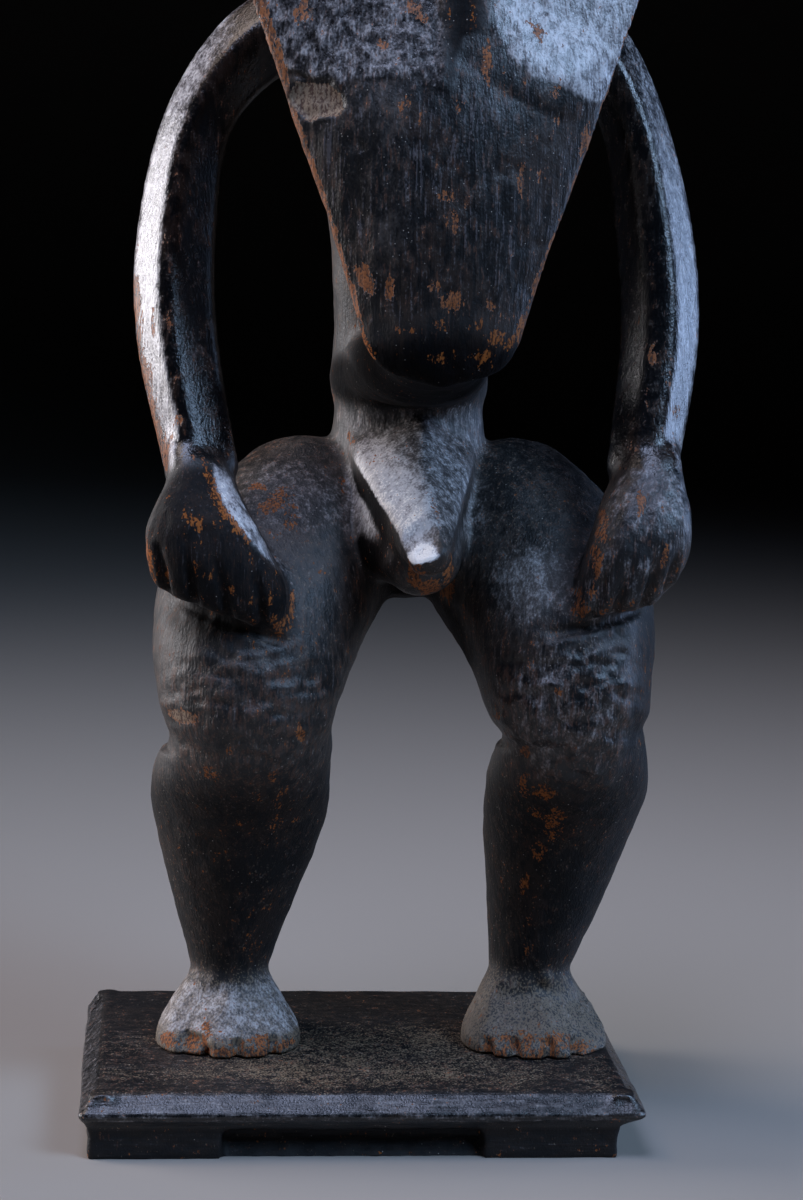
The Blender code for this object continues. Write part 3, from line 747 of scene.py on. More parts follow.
@dataclass(frozen=True)
class Arm:
    """One long thin arm that bows out from the shoulder to the hand on the knee."""

    side: Side
    arm: tuple[Row, ...]
    hand: tuple[Row, ...]
    finger_gaps: tuple[Line, ...]
    flats: Line
    slope: float                   # the thumb reaches lower than the little finger
    thumb_cut: tuple[Triple, Triple]           # a point of the flat beside the thumb and the way it looks
    finger_depth: float = 1.1
    finger_reach: float = 0.85
    under_depth: float = 0.85      # of the undercut below the fingertips

    def rough(self, bm: bmesh.types.BMesh, layout: Layout) -> None:
        """Adds the arm's forms."""
        Limb(self.arm, across=(0, -1, 0), flats=self.flats, dome=(4.0, 3.0)).add_to(bm, layout)
        Limb(self.hand, edge=2.6, dome=(2.0, 1.2), level=True, slope=self.slope).add_to(bm, layout)

    def carve(self, skin: Skin) -> None:
        """Cuts the fingers and the facet beside the thumb."""
        hand = self.on_hand(skin)
        on, way = self.thumb_cut
        skin.shave(on, way, skin.near(on, (8.0, 9.0, 13.0), 0.4))
        above = self.above_fingertips(skin)
        cut = strongest(*(skin.line(gap, self.finger_reach, 0.9) for gap in self.finger_gaps))
        cut *= hand * ramp(above, -0.3, 0.5) * (0.2 + 0.8 * ramp(above, 9.0, 3.0))
        seed = 40 + self.side.value
        rough = 0.20 * skin.noise(hand, (1.1, 1.1, 3.0), seed, 3)
        rough += 0.17 * skin.cuts(hand, (2.0, 2.0, 3.6), seed + 2)
        cut *= 1 + 0.4 * Grit.swell(skin.place, (1.4, 1.4, 2.6), seed + 4)
        x, y = self.hand[-1][:2]
        under = skin.near((x, y - 3, self.hand[-1][2]), (12.0, 8.0, 8.0), 0.25) * skin.fronts(-0.4, 0.2)
        outer = self.side.value * (skin.x - x)
        under *= ramp(abs(above + 0.9), 1.2, 0.3) * ramp(outer, 8.0, 2.0)
        skin.push(rough - self.finger_depth * cut - self.under_depth * under)

    def above_fingertips(self, skin: Skin) -> Array:
        """How far each point stands above the lower edge of the hand, in mm."""
        x, _, z = self.hand[-1][:3]
        return skin.z - (z - 1.2 - self.slope * (skin.x - x))

    def on_hand(self, skin: Skin) -> Array:
        """How much each point belongs to the front of the hand, from 0 to 1."""
        x, y, z = self.hand[3][:3]
        egg = skin.near((x, y - 3, z), (14.0, 9.0, 14.0), 0.3)
        return egg * skin.fronts(0.0, 0.4) * (skin.y < -14)


@dataclass(frozen=True)
class Loin:
    """Trunk, hips and the pointed sex, with the block that joins the chin to the belly."""

    pelvis: tuple[Row, ...] = (
        (6.8, 6.0, 80.5, 6.0, 7.0), (6.9, 7.0, 86.0, 13.0, 11.5), (6.9, 7.6, 94.0, 16.0, 12.5),
        (6.9, 7.4, 101.0, 12.4, 11.2), (6.9, 7.0, 106.0, 11.0, 9.6))
    trunk: tuple[Row, ...] = (
        (6.9, 7.2, 98.0, 12.4, 10.8), (6.9, 6.6, 107.4, 11.3, 9.3), (6.9, 6.2, 111.4, 12.0, 10.0),
        (7.0, 6.0, 121.0, 11.8, 9.1), (7.0, 6.0, 136.0, 13.0, 9.2), (7.0, 5.6, 150.0, 16.4, 9.9),
        (7.0, 5.0, 161.0, 16.8, 9.6), (7.0, 4.0, 169.0, 10.4, 8.8), (7.0, 2.0, 180.0, 9.0, 9.4))
    sex: tuple[Row, ...] = (
        (6.9, 4.0, 101.0, 10.8, 9.2), (7.0, -5.0, 98.0, 9.4, 8.0), (7.2, -14.0, 94.4, 6.9, 6.0),
        (7.5, -22.0, 91.0, 4.4, 4.3), (7.8, -26.0, 88.9, 3.3, 3.2))
    sex_flats: Line = ((-114, 0.79), (-52, 0.83), (176, 0.92), (4, 0.92))
    bag: tuple[Row, ...] = (
        (6.4, -2.0, 91.0, 9.2, 8.0), (6.6, -9.0, 89.4, 8.4, 7.4), (7.6, -16.0, 86.8, 5.8, 5.2))
    tip_cuts: tuple[tuple[Triple, Triple], ...] = (
        ((6.7, -27.1, 88.5), (-0.38, -0.71, 0.59)), ((8.8, -27.0, 86.4), (0.28, -0.80, -0.53)))
    # The band down the left of the wedge, seen from the front, where a painted highlight stands for the light
    # on that face.
    band: Line = ((-5.4, 107.0), (0.6, 108.4), (4.6, 101.5), (8.0, 96.4), (8.2, 90.6), (5.0, 87.4), (1.4, 90.6),
                  (-0.3, 94.4), (-4.8, 102.6))
    bridge: tuple[Row, ...] = (
        (8.4, -31.0, 120.0, 7.6, 5.6), (8.0, -22.0, 118.0, 7.8, 5.6), (7.6, -10.0, 115.6, 9.4, 6.0),
        (7.2, -1.0, 114.6, 11.2, 6.2))

    def rough(self, bm: bmesh.types.BMesh, layout: Layout) -> None:
        """Adds the forms of the trunk."""
        Limb(self.pelvis, level=True, dome=(2.0, 2.0)).add_to(bm, layout)
        Limb(self.trunk, edge=2.3, level=True, dome=(2.0, 2.0)).add_to(bm, layout)
        Limb(self.sex, flats=self.sex_flats, dome=(2.0, 1.6)).add_to(bm, layout)
        Limb(self.bag, dome=(2.0, 4.0)).add_to(bm, layout)
        Limb(self.bridge, edge=2.4, dome=(1.5, 2.0)).add_to(bm, layout)

    def on_wedge(self, skin: Skin) -> Array:
        """How much each point belongs to the two upper faces of the wedge, from 0 to 1."""
        return skin.near((6.4, -12.0, 97.0), (11.5, 15.5, 11.0), 0.5) * ramp(skin.facing[:, 2], -0.1, 0.3)

    def on_tip(self, skin: Skin) -> Array:
        """How much each point belongs to the small bright flat of the tip, from 0 to 1."""
        on, way = self.tip_cuts[0]
        return skin.near(on, (2.5, 3.4, 2.6), 0.25) * ramp(skin.facing @ np.array(way), 0.62, 0.80)

    def carve(self, skin: Skin) -> None:
        """Cuts the two small flats of the tip."""
        for on, way in self.tip_cuts:
            skin.shave(on, way, skin.near(self.sex[-1][:3], (5.5, 5.0, 5.5), 0.4))


@dataclass(frozen=True)
class Head:
    """The head: a small round skull behind a huge flat face that tapers to the chin."""

    shield: Shield = Shield()
    skull: tuple[Row, ...] = (
        (7.6, -6.0, 168.0, 9.0, 12.0), (7.6, -5.0, 176.0, 16.0, 18.0), (7.6, -3.8, 186.0, 20.5, 21.5),
        (7.6, -3.0, 196.0, 20.5, 20.5), (7.6, -3.6, 203.5, 15.6, 15.2))
    # Heights and depths of the carving on the face, in mm.
    nose_height: float = 3.4
    mouth_depth: float = 1.0
    brow_height: float = 1.3
    lid_height: float = 0.9
    lid_depth: float = 1.7
    tear_height: float = 0.10
    parting_height: float = 0.18
    shoulder_height: float = 0.95
    lump_height: float = 0.14
    scrape_height: float = 0.12
    scar_depth: float = 0.11
    crack_depth: float = 0.45
    chip_depth: float = 0.5
    lip_height: float = 0.28
    # Lines on the face.
    nose: Line = ((8.2, 197.0), (8.2, 180.0))
    parting: Line = ((8.0, 176.0), (8.0, 160.0), (7.4, 155.6))
    # Right of the parting the face stays level up to this soft shoulder, where it turns away to the right.
    shoulder: Line = ((11.8, 178.0), (12.2, 168.0), (13.8, 164.4), (17.6, 161.0), (21.6, 158.8), (25.0, 157.4))
    valley: Line = ((9.8, 178.0), (10.2, 164.0), (10.8, 157.0))
    mouth: Line = ((3.4, 174.4), (8.2, 173.6), (13.0, 174.4))
    brow: Line = ((2.0, 196.4), (9.0, 199.2), (17.0, 198.4), (23.0, 194.0))
    eye: Line = ((6.0, 190.0), (11.5, 189.0), (18.0, 190.6))
    # Where the rough upper face ends and the scraped chin begins, and the crack and the chip beside it.
    upper: Line = ((-30.0, 214.0), (-30.0, 164.0), (-16.5, 159.0), (-15.2, 157.6), (-12.1, 156.1),
                   (-8.4, 155.6), (-5.5, 155.9), (-1.4, 156.3), (1.3, 156.5), (4.2, 156.8), (5.8, 154.6),
                   (8.2, 154.2), (9.0, 157.5), (10.2, 162.0), (13.3, 162.8), (15.9, 159.5), (18.7, 157.7),
                   (22.7, 156.1), (27.0, 153.9), (32.0, 153.0), (44.0, 164.0), (44.0, 214.0))
    crack: Line = ((-12.6, 156.5), (-10.6, 155.7), (-8.2, 155.6))
    chip: Line = ((-12.8, 155.4), (-8.2, 155.2), (-6.7, 153.8), (-6.1, 152.2), (-7.0, 151.1), (-10.0, 150.6),
                  (-10.8, 150.0), (-14.0, 153.0))
    lip: Line = ((-6.6, 151.6), (-8.6, 150.7), (-10.8, 150.2))         # the raised lower edge of the chip

    def mirrored(self, line: Line, side: Side) -> Line:
        """A line given from the face's middle, set on one side of it."""
        return tuple((self.shield.middle + side.value * x, z) for x, z in line)

    def rough(self, bm: bmesh.types.BMesh, layout: Layout) -> None:
        """Adds the skull and the shield."""
        Limb(self.skull, level=True, dome=(2.0, 6.0)).add_to(bm, layout)
        self.shield.add_to(bm, layout)

    def front(self, skin: Skin) -> Array:
        """How much each point belongs to the front of the face, from 0 to 1."""
        z = skin.z
        width, middle, side, _ = self.shield.at(z)
        s = abs(skin.x - self.shield.middle) / np.maximum(width, 1.0)
        front = side + (middle - side) * (1 - s.clip(0, 1) ** 2)
        close = ramp(skin.y - front, 2.6, 1.4)
        return close * skin.fronts(0.1, 0.4) * (z > 113)

    def torn(self, skin: Skin, front: Array) -> Array:
        """How much each point belongs to the rough upper part of the face, which ends in a ragged edge.

        Args:
            skin: the skin.
            front: how much each point belongs to the front of the face.

        Returns:
            The share of each point, from 0 to 1.
        """
        ragged = skin.outline(self.upper, 2.6) + 0.45 * skin.noise(front, (2.2, 2.2, 1.8), 47, 3)
        return ramp(ragged, 0.2, 0.8) * front

    def carve(self, skin: Skin) -> None:
        """Cuts the features, then tears and scrapes the face as handling and age have done."""
        front = self.front(skin)
        out = self.nose_height * skin.line(self.nose, 3.6) - self.mouth_depth * skin.line(self.mouth, 1.4)
        for side in Side:
            out += self.brow_height * skin.line(self.mirrored(self.brow, side), 2.8)
            out += self.lid_height * skin.line(self.mirrored(self.eye, side), 4.2)
            out -= self.lid_depth * skin.line(self.mirrored(self.eye, side), 1.3)
        skin.push(out * front)
        upper = self.torn(skin, front)
        out = self.tear_height * upper
        ragged = 1 + 0.9 * skin.noise(front, (1.2, 1.2, 2.4), 49, 2)
        out += self.parting_height * skin.line(self.parting, 1.3, 0.7) * front * ragged
        out += self.shoulder_height * skin.line(self.shoulder, 6.4, 1.0) * front
        lumps = upper * ramp(skin.x, 16.0, 12.0)
        out += self.lump_height * skin.noise(lumps, (1.9, 1.9, 1.5), 51, 3)
        out += self.scrape_height * skin.cuts(lumps, (1.5, 1.5, 1.1), 61)
        ripples = upper * ramp(skin.x, 12.0, 16.0)
        out += self.scrape_height * skin.noise(ripples, (1.0, 1.4, 2.8), 71, 2)
        plain = front * (1 - upper)
        out += self.scrape_height * skin.noise(plain, (0.9, 0.9, 7.0), 81, 2)
        out += self.scrape_height * skin.noise(plain, (4.0, 4.0, 6.0), 87, 3)
        scars = ramp(skin.noise(plain, (4.6, 4.6, 3.2), 91, 2), 0.30, 0.42)
        out -= self.scar_depth * scars * (1 + skin.noise(plain, (0.8, 0.8, 1.6), 93, 2))
        out -= self.crack_depth * skin.line(self.crack, 0.6) * front
        skin.push(out)
        chip = skin.outline(self.chip, 0.5) * front
        lip = skin.line(self.lip, 0.6) * front
        skin.push(self.lip_height * lip - self.chip_depth * chip)


@dataclass
class Figure:
    """The man, carved in one with nothing joined on."""

    layout: Layout
    name: str = "amulet_man"
    grain: float = 0.46            # the step of the skin while it is carved, in mm
    triangles: int = 192000
    plain_above: float = 172.0     # height above which the face is plainer and needs fewer faces
    sole: float = 10.1             # height at which the soles are cut flat
    thinnest: float = 1e-6         # in metres, what counts as on the cut
    # Depths and heights of the knife marks, in mm.
    knife_depth: float = 0.20
    lump_height: float = 0.18
    pit_depth: float = 0.07
    head: Head = Head()
    loin: Loin = Loin()
    arms: tuple[Arm, ...] = (
        Arm(Side.LEFT,
            arm=((4.0, 4.6, 160.5, 7.4, 7.0), (-7.5, 3.8, 165.2, 6.8, 6.6), (-17.2, 2.4, 161.8, 5.8, 6.1),
                 (-25.7, 0.4, 150.5, 5.5, 5.3), (-28.8, -3.2, 134.0, 5.8, 6.1), (-28.6, -7.6, 118.5, 5.8, 6.2),
                 (-24.8, -14.0, 99.5, 5.2, 5.5)),
            hand=((-25.4, -14.4, 101.5, 4.6, 5.4), (-24.2, -17.4, 97.3, 5.6, 5.6),
                  (-23.6, -19.8, 93.0, 7.8, 5.8), (-22.9, -20.6, 88.6, 9.8, 5.8),
                  (-22.4, -20.6, 85.0, 10.2, 5.6), (-22.2, -20.4, 82.4, 9.8, 5.2),
                  (-22.0, -20.2, 80.9, 9.3, 4.7)),
            finger_gaps=(((-31.0, 89.6), (-29.6, 82.0)), ((-27.2, 91.0), (-25.4, 79.0)),
                         ((-22.8, 88.0), (-20.2, 77.4)), ((-18.2, 90.0), (-16.6, 84.0), (-15.4, 75.5))),
            flats=((-56, 0.82), (30, 0.84), (132, 0.84), (-132, 0.84)), slope=0.32,
            thumb_cut=((-19.3, -25.2, 92.8), (0.66, -0.50, 0.56))),
        Arm(Side.RIGHT,
            arm=((10.0, 4.6, 160.5, 7.4, 7.0), (22.5, 3.8, 166.2, 6.8, 6.6), (32.0, 2.4, 163.0, 5.8, 6.0),
                 (38.8, 0.4, 152.3, 5.5, 5.2), (42.2, -3.2, 135.5, 5.8, 6.1), (42.9, -7.6, 119.5, 5.8, 6.2),
                 (40.0, -14.0, 100.5, 5.2, 5.6)),
            hand=((41.0, -14.4, 102.5, 4.4, 5.4), (39.8, -17.4, 98.0, 5.9, 5.6), (39.2, -19.8, 93.6, 7.2, 5.8),
                  (38.6, -20.6, 89.4, 7.8, 5.8), (38.0, -20.6, 86.0, 7.6, 5.6), (37.0, -20.4, 83.2, 7.0, 5.2),
                  (36.2, -20.2, 81.6, 6.2, 4.7)),
            finger_gaps=(((36.8, 89.0), (34.6, 78.0)), ((41.0, 90.4), (38.9, 79.6)),
                         ((44.0, 92.0), (42.8, 83.6)), ((33.5, 87.6), (31.4, 77.6))),
            flats=((50, 0.80), (-11, 0.93), (-60, 0.82), (132, 0.84), (-132, 0.84)), slope=-0.22,
            thumb_cut=((31.3, -24.0, 91.0), (-0.82, -0.55, 0.12))))
    legs: tuple[Leg, ...] = (
        Leg(foot=((-19.4, 1.4, 7.0, 10.7, 12.4), (-19.4, 1.4, 11.6, 10.9, 12.2), (-19.4, 2.0, 15.0, 9.2, 9.8),
                  (-19.3, 2.8, 20.5, 5.6, 6.2)),
            shin=((-19.3, 3.2, 15.0, 6.0, 6.4), (-19.3, 3.0, 19.8, 5.7, 6.1), (-18.8, 2.0, 31.5, 9.2, 9.2),
                  (-18.1, -1.2, 44.5, 12.9, 12.2), (-18.1, -6.0, 52.5, 13.4, 13.0),
                  (-17.3, -10.6, 60.0, 12.4, 13.0), (-17.2, -11.6, 67.0, 11.4, 12.6)),
            thigh=((-7.2, 8.5, 88.4, 15.0, 15.2), (-10.9, 2.5, 85.0, 15.8, 15.0),
                   (-14.8, -4.5, 79.4, 16.0, 14.2), (-16.7, -9.3, 73.5, 15.2, 13.6),
                   (-17.3, -11.8, 67.5, 14.0, 13.0), (-17.3, -12.6, 62.5, 12.5, 12.2)),
            toe_gaps=((-22.9, 11.6), (-18.2, 12.3), (-12.7, 12.2)),
            knee=(-17.5, -22.0, 66.0), knee_size=(14.0, 11.0, 10.0), knee_lumps=0.42, knee_wave=(4.2, 4.2, 1.6),
            step=(-31.0, -8.0, 58.4),
            foot_cuts=(((-23.0, -6.5, 15.0), (-0.35, -0.62, 0.70)), ((-15.0, -7.0, 14.6), (0.25, -0.66, 0.70))),
            seed=21,
            broken=((-27.4, 9.0), (-27.2, 12.0), (-26.0, 13.2), (-24.2, 13.0), (-22.9, 12.6), (-22.7, 9.0))),
        Leg(foot=((28.0, 0.8, 7.0, 10.9, 12.4), (28.0, 0.8, 11.6, 11.0, 12.2), (27.9, 1.6, 15.0, 9.3, 9.8),
                  (27.4, 2.8, 20.5, 6.1, 6.4)),
            shin=((27.4, 3.2, 15.0, 6.4, 6.5), (27.4, 3.0, 19.6, 6.2, 6.2), (29.5, 2.0, 31.5, 8.9, 9.1),
                  (30.9, -1.4, 44.5, 11.6, 11.8), (31.5, -6.0, 52.5, 12.3, 12.7),
                  (31.2, -10.6, 60.0, 11.0, 12.7), (30.6, -11.6, 67.0, 10.4, 12.3)),
            thigh=((22.0, 8.5, 88.4, 15.0, 15.2), (24.9, 2.5, 85.2, 15.6, 15.0), (27.8, -4.5, 79.8, 15.2, 14.0),
                   (29.4, -9.3, 74.2, 14.3, 13.4), (30.2, -11.8, 68.3, 12.9, 12.8),
                   (31.2, -12.6, 63.2, 11.6, 12.0)),
            toe_gaps=((20.0, 12.0), (24.1, 12.2), (29.3, 12.4), (33.6, 12.2)),
            knee=(30.0, -22.0, 65.5), knee_size=(12.0, 11.0, 12.5), knee_lumps=0.55, step=(18.5, -8.0, 59.5),
            foot_cuts=(((25.0, -7.0, 14.8), (-0.15, -0.66, 0.72)), ((33.0, -5.0, 14.6), (0.50, -0.50, 0.70))),
            seed=31, knob=(29.6, -5.2, 20.6)))

    def parts(self) -> tuple[Leg | Arm | Loin | Head, ...]:
        """The parts in the order in which they are roughed out."""
        return (*self.legs, *self.arms, self.loin, self.head)

    def block(self) -> bpy.types.Object:
        """All the forms, overlapping, made one even skin."""
        bm = bmesh.new()
        for part in self.parts():
            part.rough(bm, self.layout)
        mesh = bpy.data.meshes.new(self.name)
        bm.to_mesh(mesh)
        bm.free()
        thing = stand(self.name, mesh)
        melt(thing, self.grain)
        return thing

    def carve(self, skin: Skin) -> None:
        """Carves the block from the large cuts to the small ones."""
        face = self.head.front(skin)
        skin.soften(24, 0.62, 0.05, 1 - 0.85 * face)
        skin.soften(30, 0.35, 0.35, self.on_arms(skin))
        skin.soften(24, 0.40, 0.40, self.loin.on_wedge(skin))
        for part in self.parts():
            part.carve(skin)
        body = (1 - self.head.front(skin)) * ramp(skin.z, 10.5, 13.0)
        legs = body * (1 - 0.75 * self.on_arms(skin))
        knife = skin.cuts(legs, (5.5, 5.5, 8.0), 101)
        lumps = skin.noise(legs, (3.2, 3.2, 4.2), 111, 3)
        pits = skin.cuts(legs, (1.5, 1.5, 2.2), 121)
        skin.push(self.knife_depth * (knife - 0.4 * legs) + self.lump_height * lumps + self.pit_depth * pits)
        skin.soften(1, 0.25, 0.2)

    def on_arms(self, skin: Skin) -> Array:
        """How much each point belongs to the arms, hands left out, from 0 to 1."""
        x, _, z = skin.place.T
        beside = ramp(abs(x - 6.8), 20.0, 26.0)
        return beside * ramp(z, 97.0, 104.0) * ramp(z, 178.0, 168.0) * (1 - self.head.front(skin))

    def thin_out(self, skin: Skin) -> None:
        """Keeps small faces on the face, the hands and the worn places, and fewer elsewhere."""
        thing = skin.thing
        kept = strongest(self.head.front(skin) * (skin.z < self.plain_above),
                         *(arm.on_hand(skin) for arm in self.arms), *(mark.on(skin.place) for mark in MARKS))
        group = thing.vertex_groups.new(name="coarse")
        levels = np.round(1 - 0.5 * kept.clip(0, 1), 1)
        for level in np.unique(levels):
            group.add(np.flatnonzero(levels == level).tolist(), float(level), "REPLACE")
        thing.data.calc_loop_triangles()
        thin = thing.modifiers.new("fewer faces", "DECIMATE")
        thin.ratio = self.triangles / len(thing.data.loop_triangles)
        thin.vertex_group = group.name
        thin.vertex_group_factor = 1.0
        settle(thing)
        thing.vertex_groups.clear()

    def level_soles(self, thing: bpy.types.Object) -> None:
        """Cuts the soles flat where they meet the plinth."""
        bm = bmesh.new()
        bm.from_mesh(thing.data)
        floor = self.layout.metres(np.array([0.0, 0.0, self.sole]))
        everything = bm.verts[:] + bm.edges[:] + bm.faces[:]
        bmesh.ops.bisect_plane(bm, geom=everything, dist=self.thinnest, plane_co=floor, plane_no=(0, 0, -1),
                               clear_outer=True)
        rims = [edge for edge in bm.edges if edge.is_boundary]
        bmesh.ops.holes_fill(bm, edges=rims, sides=0)
        bmesh.ops.triangulate(bm, faces=[face for face in bm.faces if len(face.verts) > 4])
        bmesh.ops.recalc_face_normals(bm, faces=bm.faces[:])
        bm.to_mesh(thing.data)
        bm.free()

    def build(self) -> bpy.types.Object:
        """Carves the man.

        Returns:
            The finished mesh, undressed.
        """
        thing = self.block()
        skin = Skin(thing, self.layout)
        self.carve(skin)
        self.thin_out(skin)
        self.level_soles(thing)
        thing.data.shade_smooth()
        count_faces(thing)
        return thing


# ---- The plinth

@dataclass
class Plinth:
    """The moulded plinth: sloping border, sharp wavy ridge, undercut, and a lower tier with a sunk place."""

    layout: Layout
    name: str = "amulet_plinth"
    length: float = 84.0
    depth: float = 60.0
    height: float = 9.8
    bevel_run: float = 3.2
    bevel_drop: float = 3.0
    undercut: float = 1.9
    corner: float = 1.2
    inset_left: float = 1.7
    inset_right: float = 4.3
    inset_front: float = 1.8
    block_left: float = 19.6
    block_right: float = 20.0
    recess_deep: float = 3.4
    recess_shallow: float = 1.2
    core_share: Triple = (0.93, 0.9, 1.0)      # how much of the length, depth and height the core takes
    grain: float = 0.5             # the step of the skin while it is carved, in mm
    # Depths of the hand-cut unevenness.
    waver: float = 0.26
    lump: float = 0.10
    knife: float = 0.09
    coarse: float = 0.16
    # Rubbed streaks on the top, at the far left.
    streaks: tuple[Line, ...] = (((-37.6, 3.4), (-32.6, 3.2)), ((-37.4, -3.2), (-34.6, -3.4)))

    @property
    def ridge(self) -> float:
        """Height of the ridge."""
        return self.height - self.bevel_drop

    @property
    def tier(self) -> float:
        """Height of the lower tier."""
        return self.ridge - self.undercut

    def moulding_tree(self) -> bpy.types.NodeTree:
        """Geometry Nodes that sweep the moulding's section round the plinth and fill its middle with a core."""
        tree = bpy.data.node_groups.new("moulding", "GeometryNodeTree")
        face = tree.interface
        face.new_socket("Section", in_out="INPUT", socket_type="NodeSocketGeometry")
        for label in ("Length", "Depth", "Corner", "Core Foot", "Core Height"):
            face.new_socket(label, in_out="INPUT", socket_type="NodeSocketFloat")
        face.new_socket("Material", in_out="INPUT", socket_type="NodeSocketMaterial")
        face.new_socket("Moulding", in_out="OUTPUT", socket_type="NodeSocketGeometry")
        given = add_node(tree, "NodeGroupInput")
        outline = add_node(tree, "GeometryNodeCurvePrimitiveQuadrilateral",
                           {"Width": given.outputs["Length"], "Height": given.outputs["Depth"]})
        rounded = add_node(tree, "GeometryNodeFilletCurve",
                           {"Curve": outline.outputs[0], "Radius": given.outputs["Corner"], "Count": 6},
                           mode="POLY")
        section = add_node(tree, "GeometryNodeMeshToCurve", {"Mesh": given.outputs["Section"]})
        swept = add_node(tree, "GeometryNodeCurveToMesh",
                         {"Curve": rounded.outputs[0], "Profile Curve": section.outputs[0]})
        filled = add_node(tree, "GeometryNodeFillCurve", {"Curve": rounded.outputs[0]}, mode="NGONS")
        core = add_node(tree, "GeometryNodeExtrudeMesh",
                        {"Mesh": filled.outputs[0], "Offset Scale": given.outputs["Core Height"]})
        lift = add_node(tree, "ShaderNodeCombineXYZ", {"Z": given.outputs["Core Foot"]})
        share = add_node(tree, "ShaderNodeCombineXYZ", dict(zip("XYZ", self.core_share)))
        lifted = add_node(tree, "GeometryNodeTransform",
                          {"Geometry": core.outputs[0], "Translation": lift.outputs[0],
                           "Scale": share.outputs[0]})
        joined = add_node(tree, "GeometryNodeJoinGeometry")
        tree.links.new(swept.outputs[0], joined.inputs[0])
        tree.links.new(lifted.outputs[0], joined.inputs[0])
        real = add_node(tree, "GeometryNodeRealizeInstances", {"Geometry": joined.outputs[0]})
        dressed = add_node(tree, "GeometryNodeSetMaterial",
                           {"Geometry": real.outputs[0], "Material": given.outputs["Material"]})
        add_node(tree, "NodeGroupOutput", {"Moulding": dressed.outputs[0]})
        return tree

    def swept(self, finish: bpy.types.Material) -> bpy.types.Object:
        """The border, swept by Geometry Nodes along the ridge's outline.

        Args:
            finish: the material of the wood.

        Returns:
            The border with its core, as a plain mesh in mm round the plinth's middle.
        """
        tree = self.moulding_tree()
        low = self.tier - 0.6
        section = ((0.0, self.ridge), (self.bevel_run, self.height), (5.0, self.height), (5.0, low),
                   (self.inset_front + 0.4, low), (self.inset_front, self.tier))
        mesh = bpy.data.meshes.new("section")
        count = len(section)
        ring = [(i, (i + 1) % count) for i in range(count)]
        mesh.from_pydata([(-inward, -z, 0.0) for inward, z in section], ring, [])
        thing = stand(self.name, mesh)
        nodes = thing.modifiers.new("moulding", "NODES")
        nodes.node_group = tree
        values = {"Length": self.length, "Depth": self.depth, "Corner": self.corner, "Core Foot": low,
                  "Core Height": self.height - low, "Material": finish}
        for item in tree.interface.items_tree:
            if item.in_out == "INPUT" and item.name in values:
                nodes[item.identifier] = values[item.name]
        settle(thing)
        return thing

    def add_tier(self, bm: bmesh.types.BMesh) -> None:
        """Adds the lower tier, in mm round the plinth's middle: two end blocks with the sunk middle between."""
        left = -self.length / 2 + self.inset_left
        right = self.length / 2 - self.inset_right
        front = -self.depth / 2 + self.inset_front
        top = self.tier + 0.2
        whole = [(front, 0.0), (front, top), (-front, top), (-front, 0.0)]
        deep, shallow = front + self.recess_deep, front + self.recess_shallow
        sunk = [(shallow, 0.0), (deep, self.tier / 2), (deep, top), (-deep, top), (-deep, self.tier / 2),
                (-shallow, 0.0)]
        for section, x0, x1 in ((whole, left, left + self.block_left), (whole, right - self.block_right, right),
                                (sunk, left + self.block_left - 0.5, right - self.block_right + 0.5)):
            join_loops(bm, [[bm.verts.new((x, y, z)) for y, z in section] for x in (x0, x1)])

    def carve(self, skin: Skin) -> None:
        """Gives the plinth its hand-cut waver, its worn ridge and the chips of its corners."""
        left, right, front = -self.length / 2, self.length / 2, -self.depth / 2
        below = (skin.z < self.ridge) * (skin.x > right - 8)
        slope = (self.undercut, 0.0, -self.inset_right)
        skin.shave((right, 0.0, self.ridge), slope, below * (skin.z > self.tier - 0.9))
        skin.soften(5, 0.5, 0.3)
        side = np.maximum(abs(skin.x) - right, abs(skin.y) + front)
        rim = ramp(side, -5.0, -0.5) * ramp(skin.z, 4.6, 6.0)
        out = self.waver * skin.noise(rim, (11.0, 11.0, 30.0), 201, 2)
        whole = 1 - 0.6 * rim
        out += self.lump * skin.noise(whole, (4.2, 4.2, 2.6), 211, 2)
        out += self.knife * (skin.cuts(whole, (6.0, 4.0, 5.0), 221) - 0.5 * whole)
        grainy = ramp(skin.z, 5.2, 4.6)
        out += self.coarse * skin.noise(grainy, (1.6, 1.6, 1.1), 231, 2)
        skin.push(out)
        skin.shave((left + 0.9, front + 0.6, self.ridge + 0.3), (-0.78, -0.5, 0.38),
                   skin.near((left, front, self.ridge), (4.5, 4.0, 4.0), 0.3))
        skin.shave((left, -front - 3.0, self.ridge), (-0.7, 0.7, 0.15),
                   skin.near((left, -front, self.ridge), (9.0, 9.0, 8.0), 0.3))
        foot = ramp(skin.z, 0.5, 0.1)    # the underside is pressed flat on the ground
        skin.place[:, 2] = (skin.z * (1 - foot)).clip(0.0, None)
        skin.write()

    def build(self, finish: bpy.types.Material) -> bpy.types.Object:
        """Carves the plinth.

        Args:
            finish: the material of the wood.

        Returns:
            The finished mesh.
        """
        thing = self.swept(finish)
        bm = bmesh.new()
        bm.from_mesh(thing.data)
        self.add_tier(bm)
        bmesh.ops.transform(bm, matrix=Matrix.Scale(MM, 4), verts=bm.verts)
        bmesh.ops.translate(bm, vec=Vector(self.layout.shift) * MM, verts=bm.verts)
        bm.to_mesh(thing.data)
        bm.free()
        melt(thing, self.grain)
        self.carve(Skin(thing, self.layout))
        thing.data.shade_smooth()
        thing.data.materials.clear()
        thing.data.materials.append(finish)
        count_faces(thing)
        return thing


# ---- The finishes

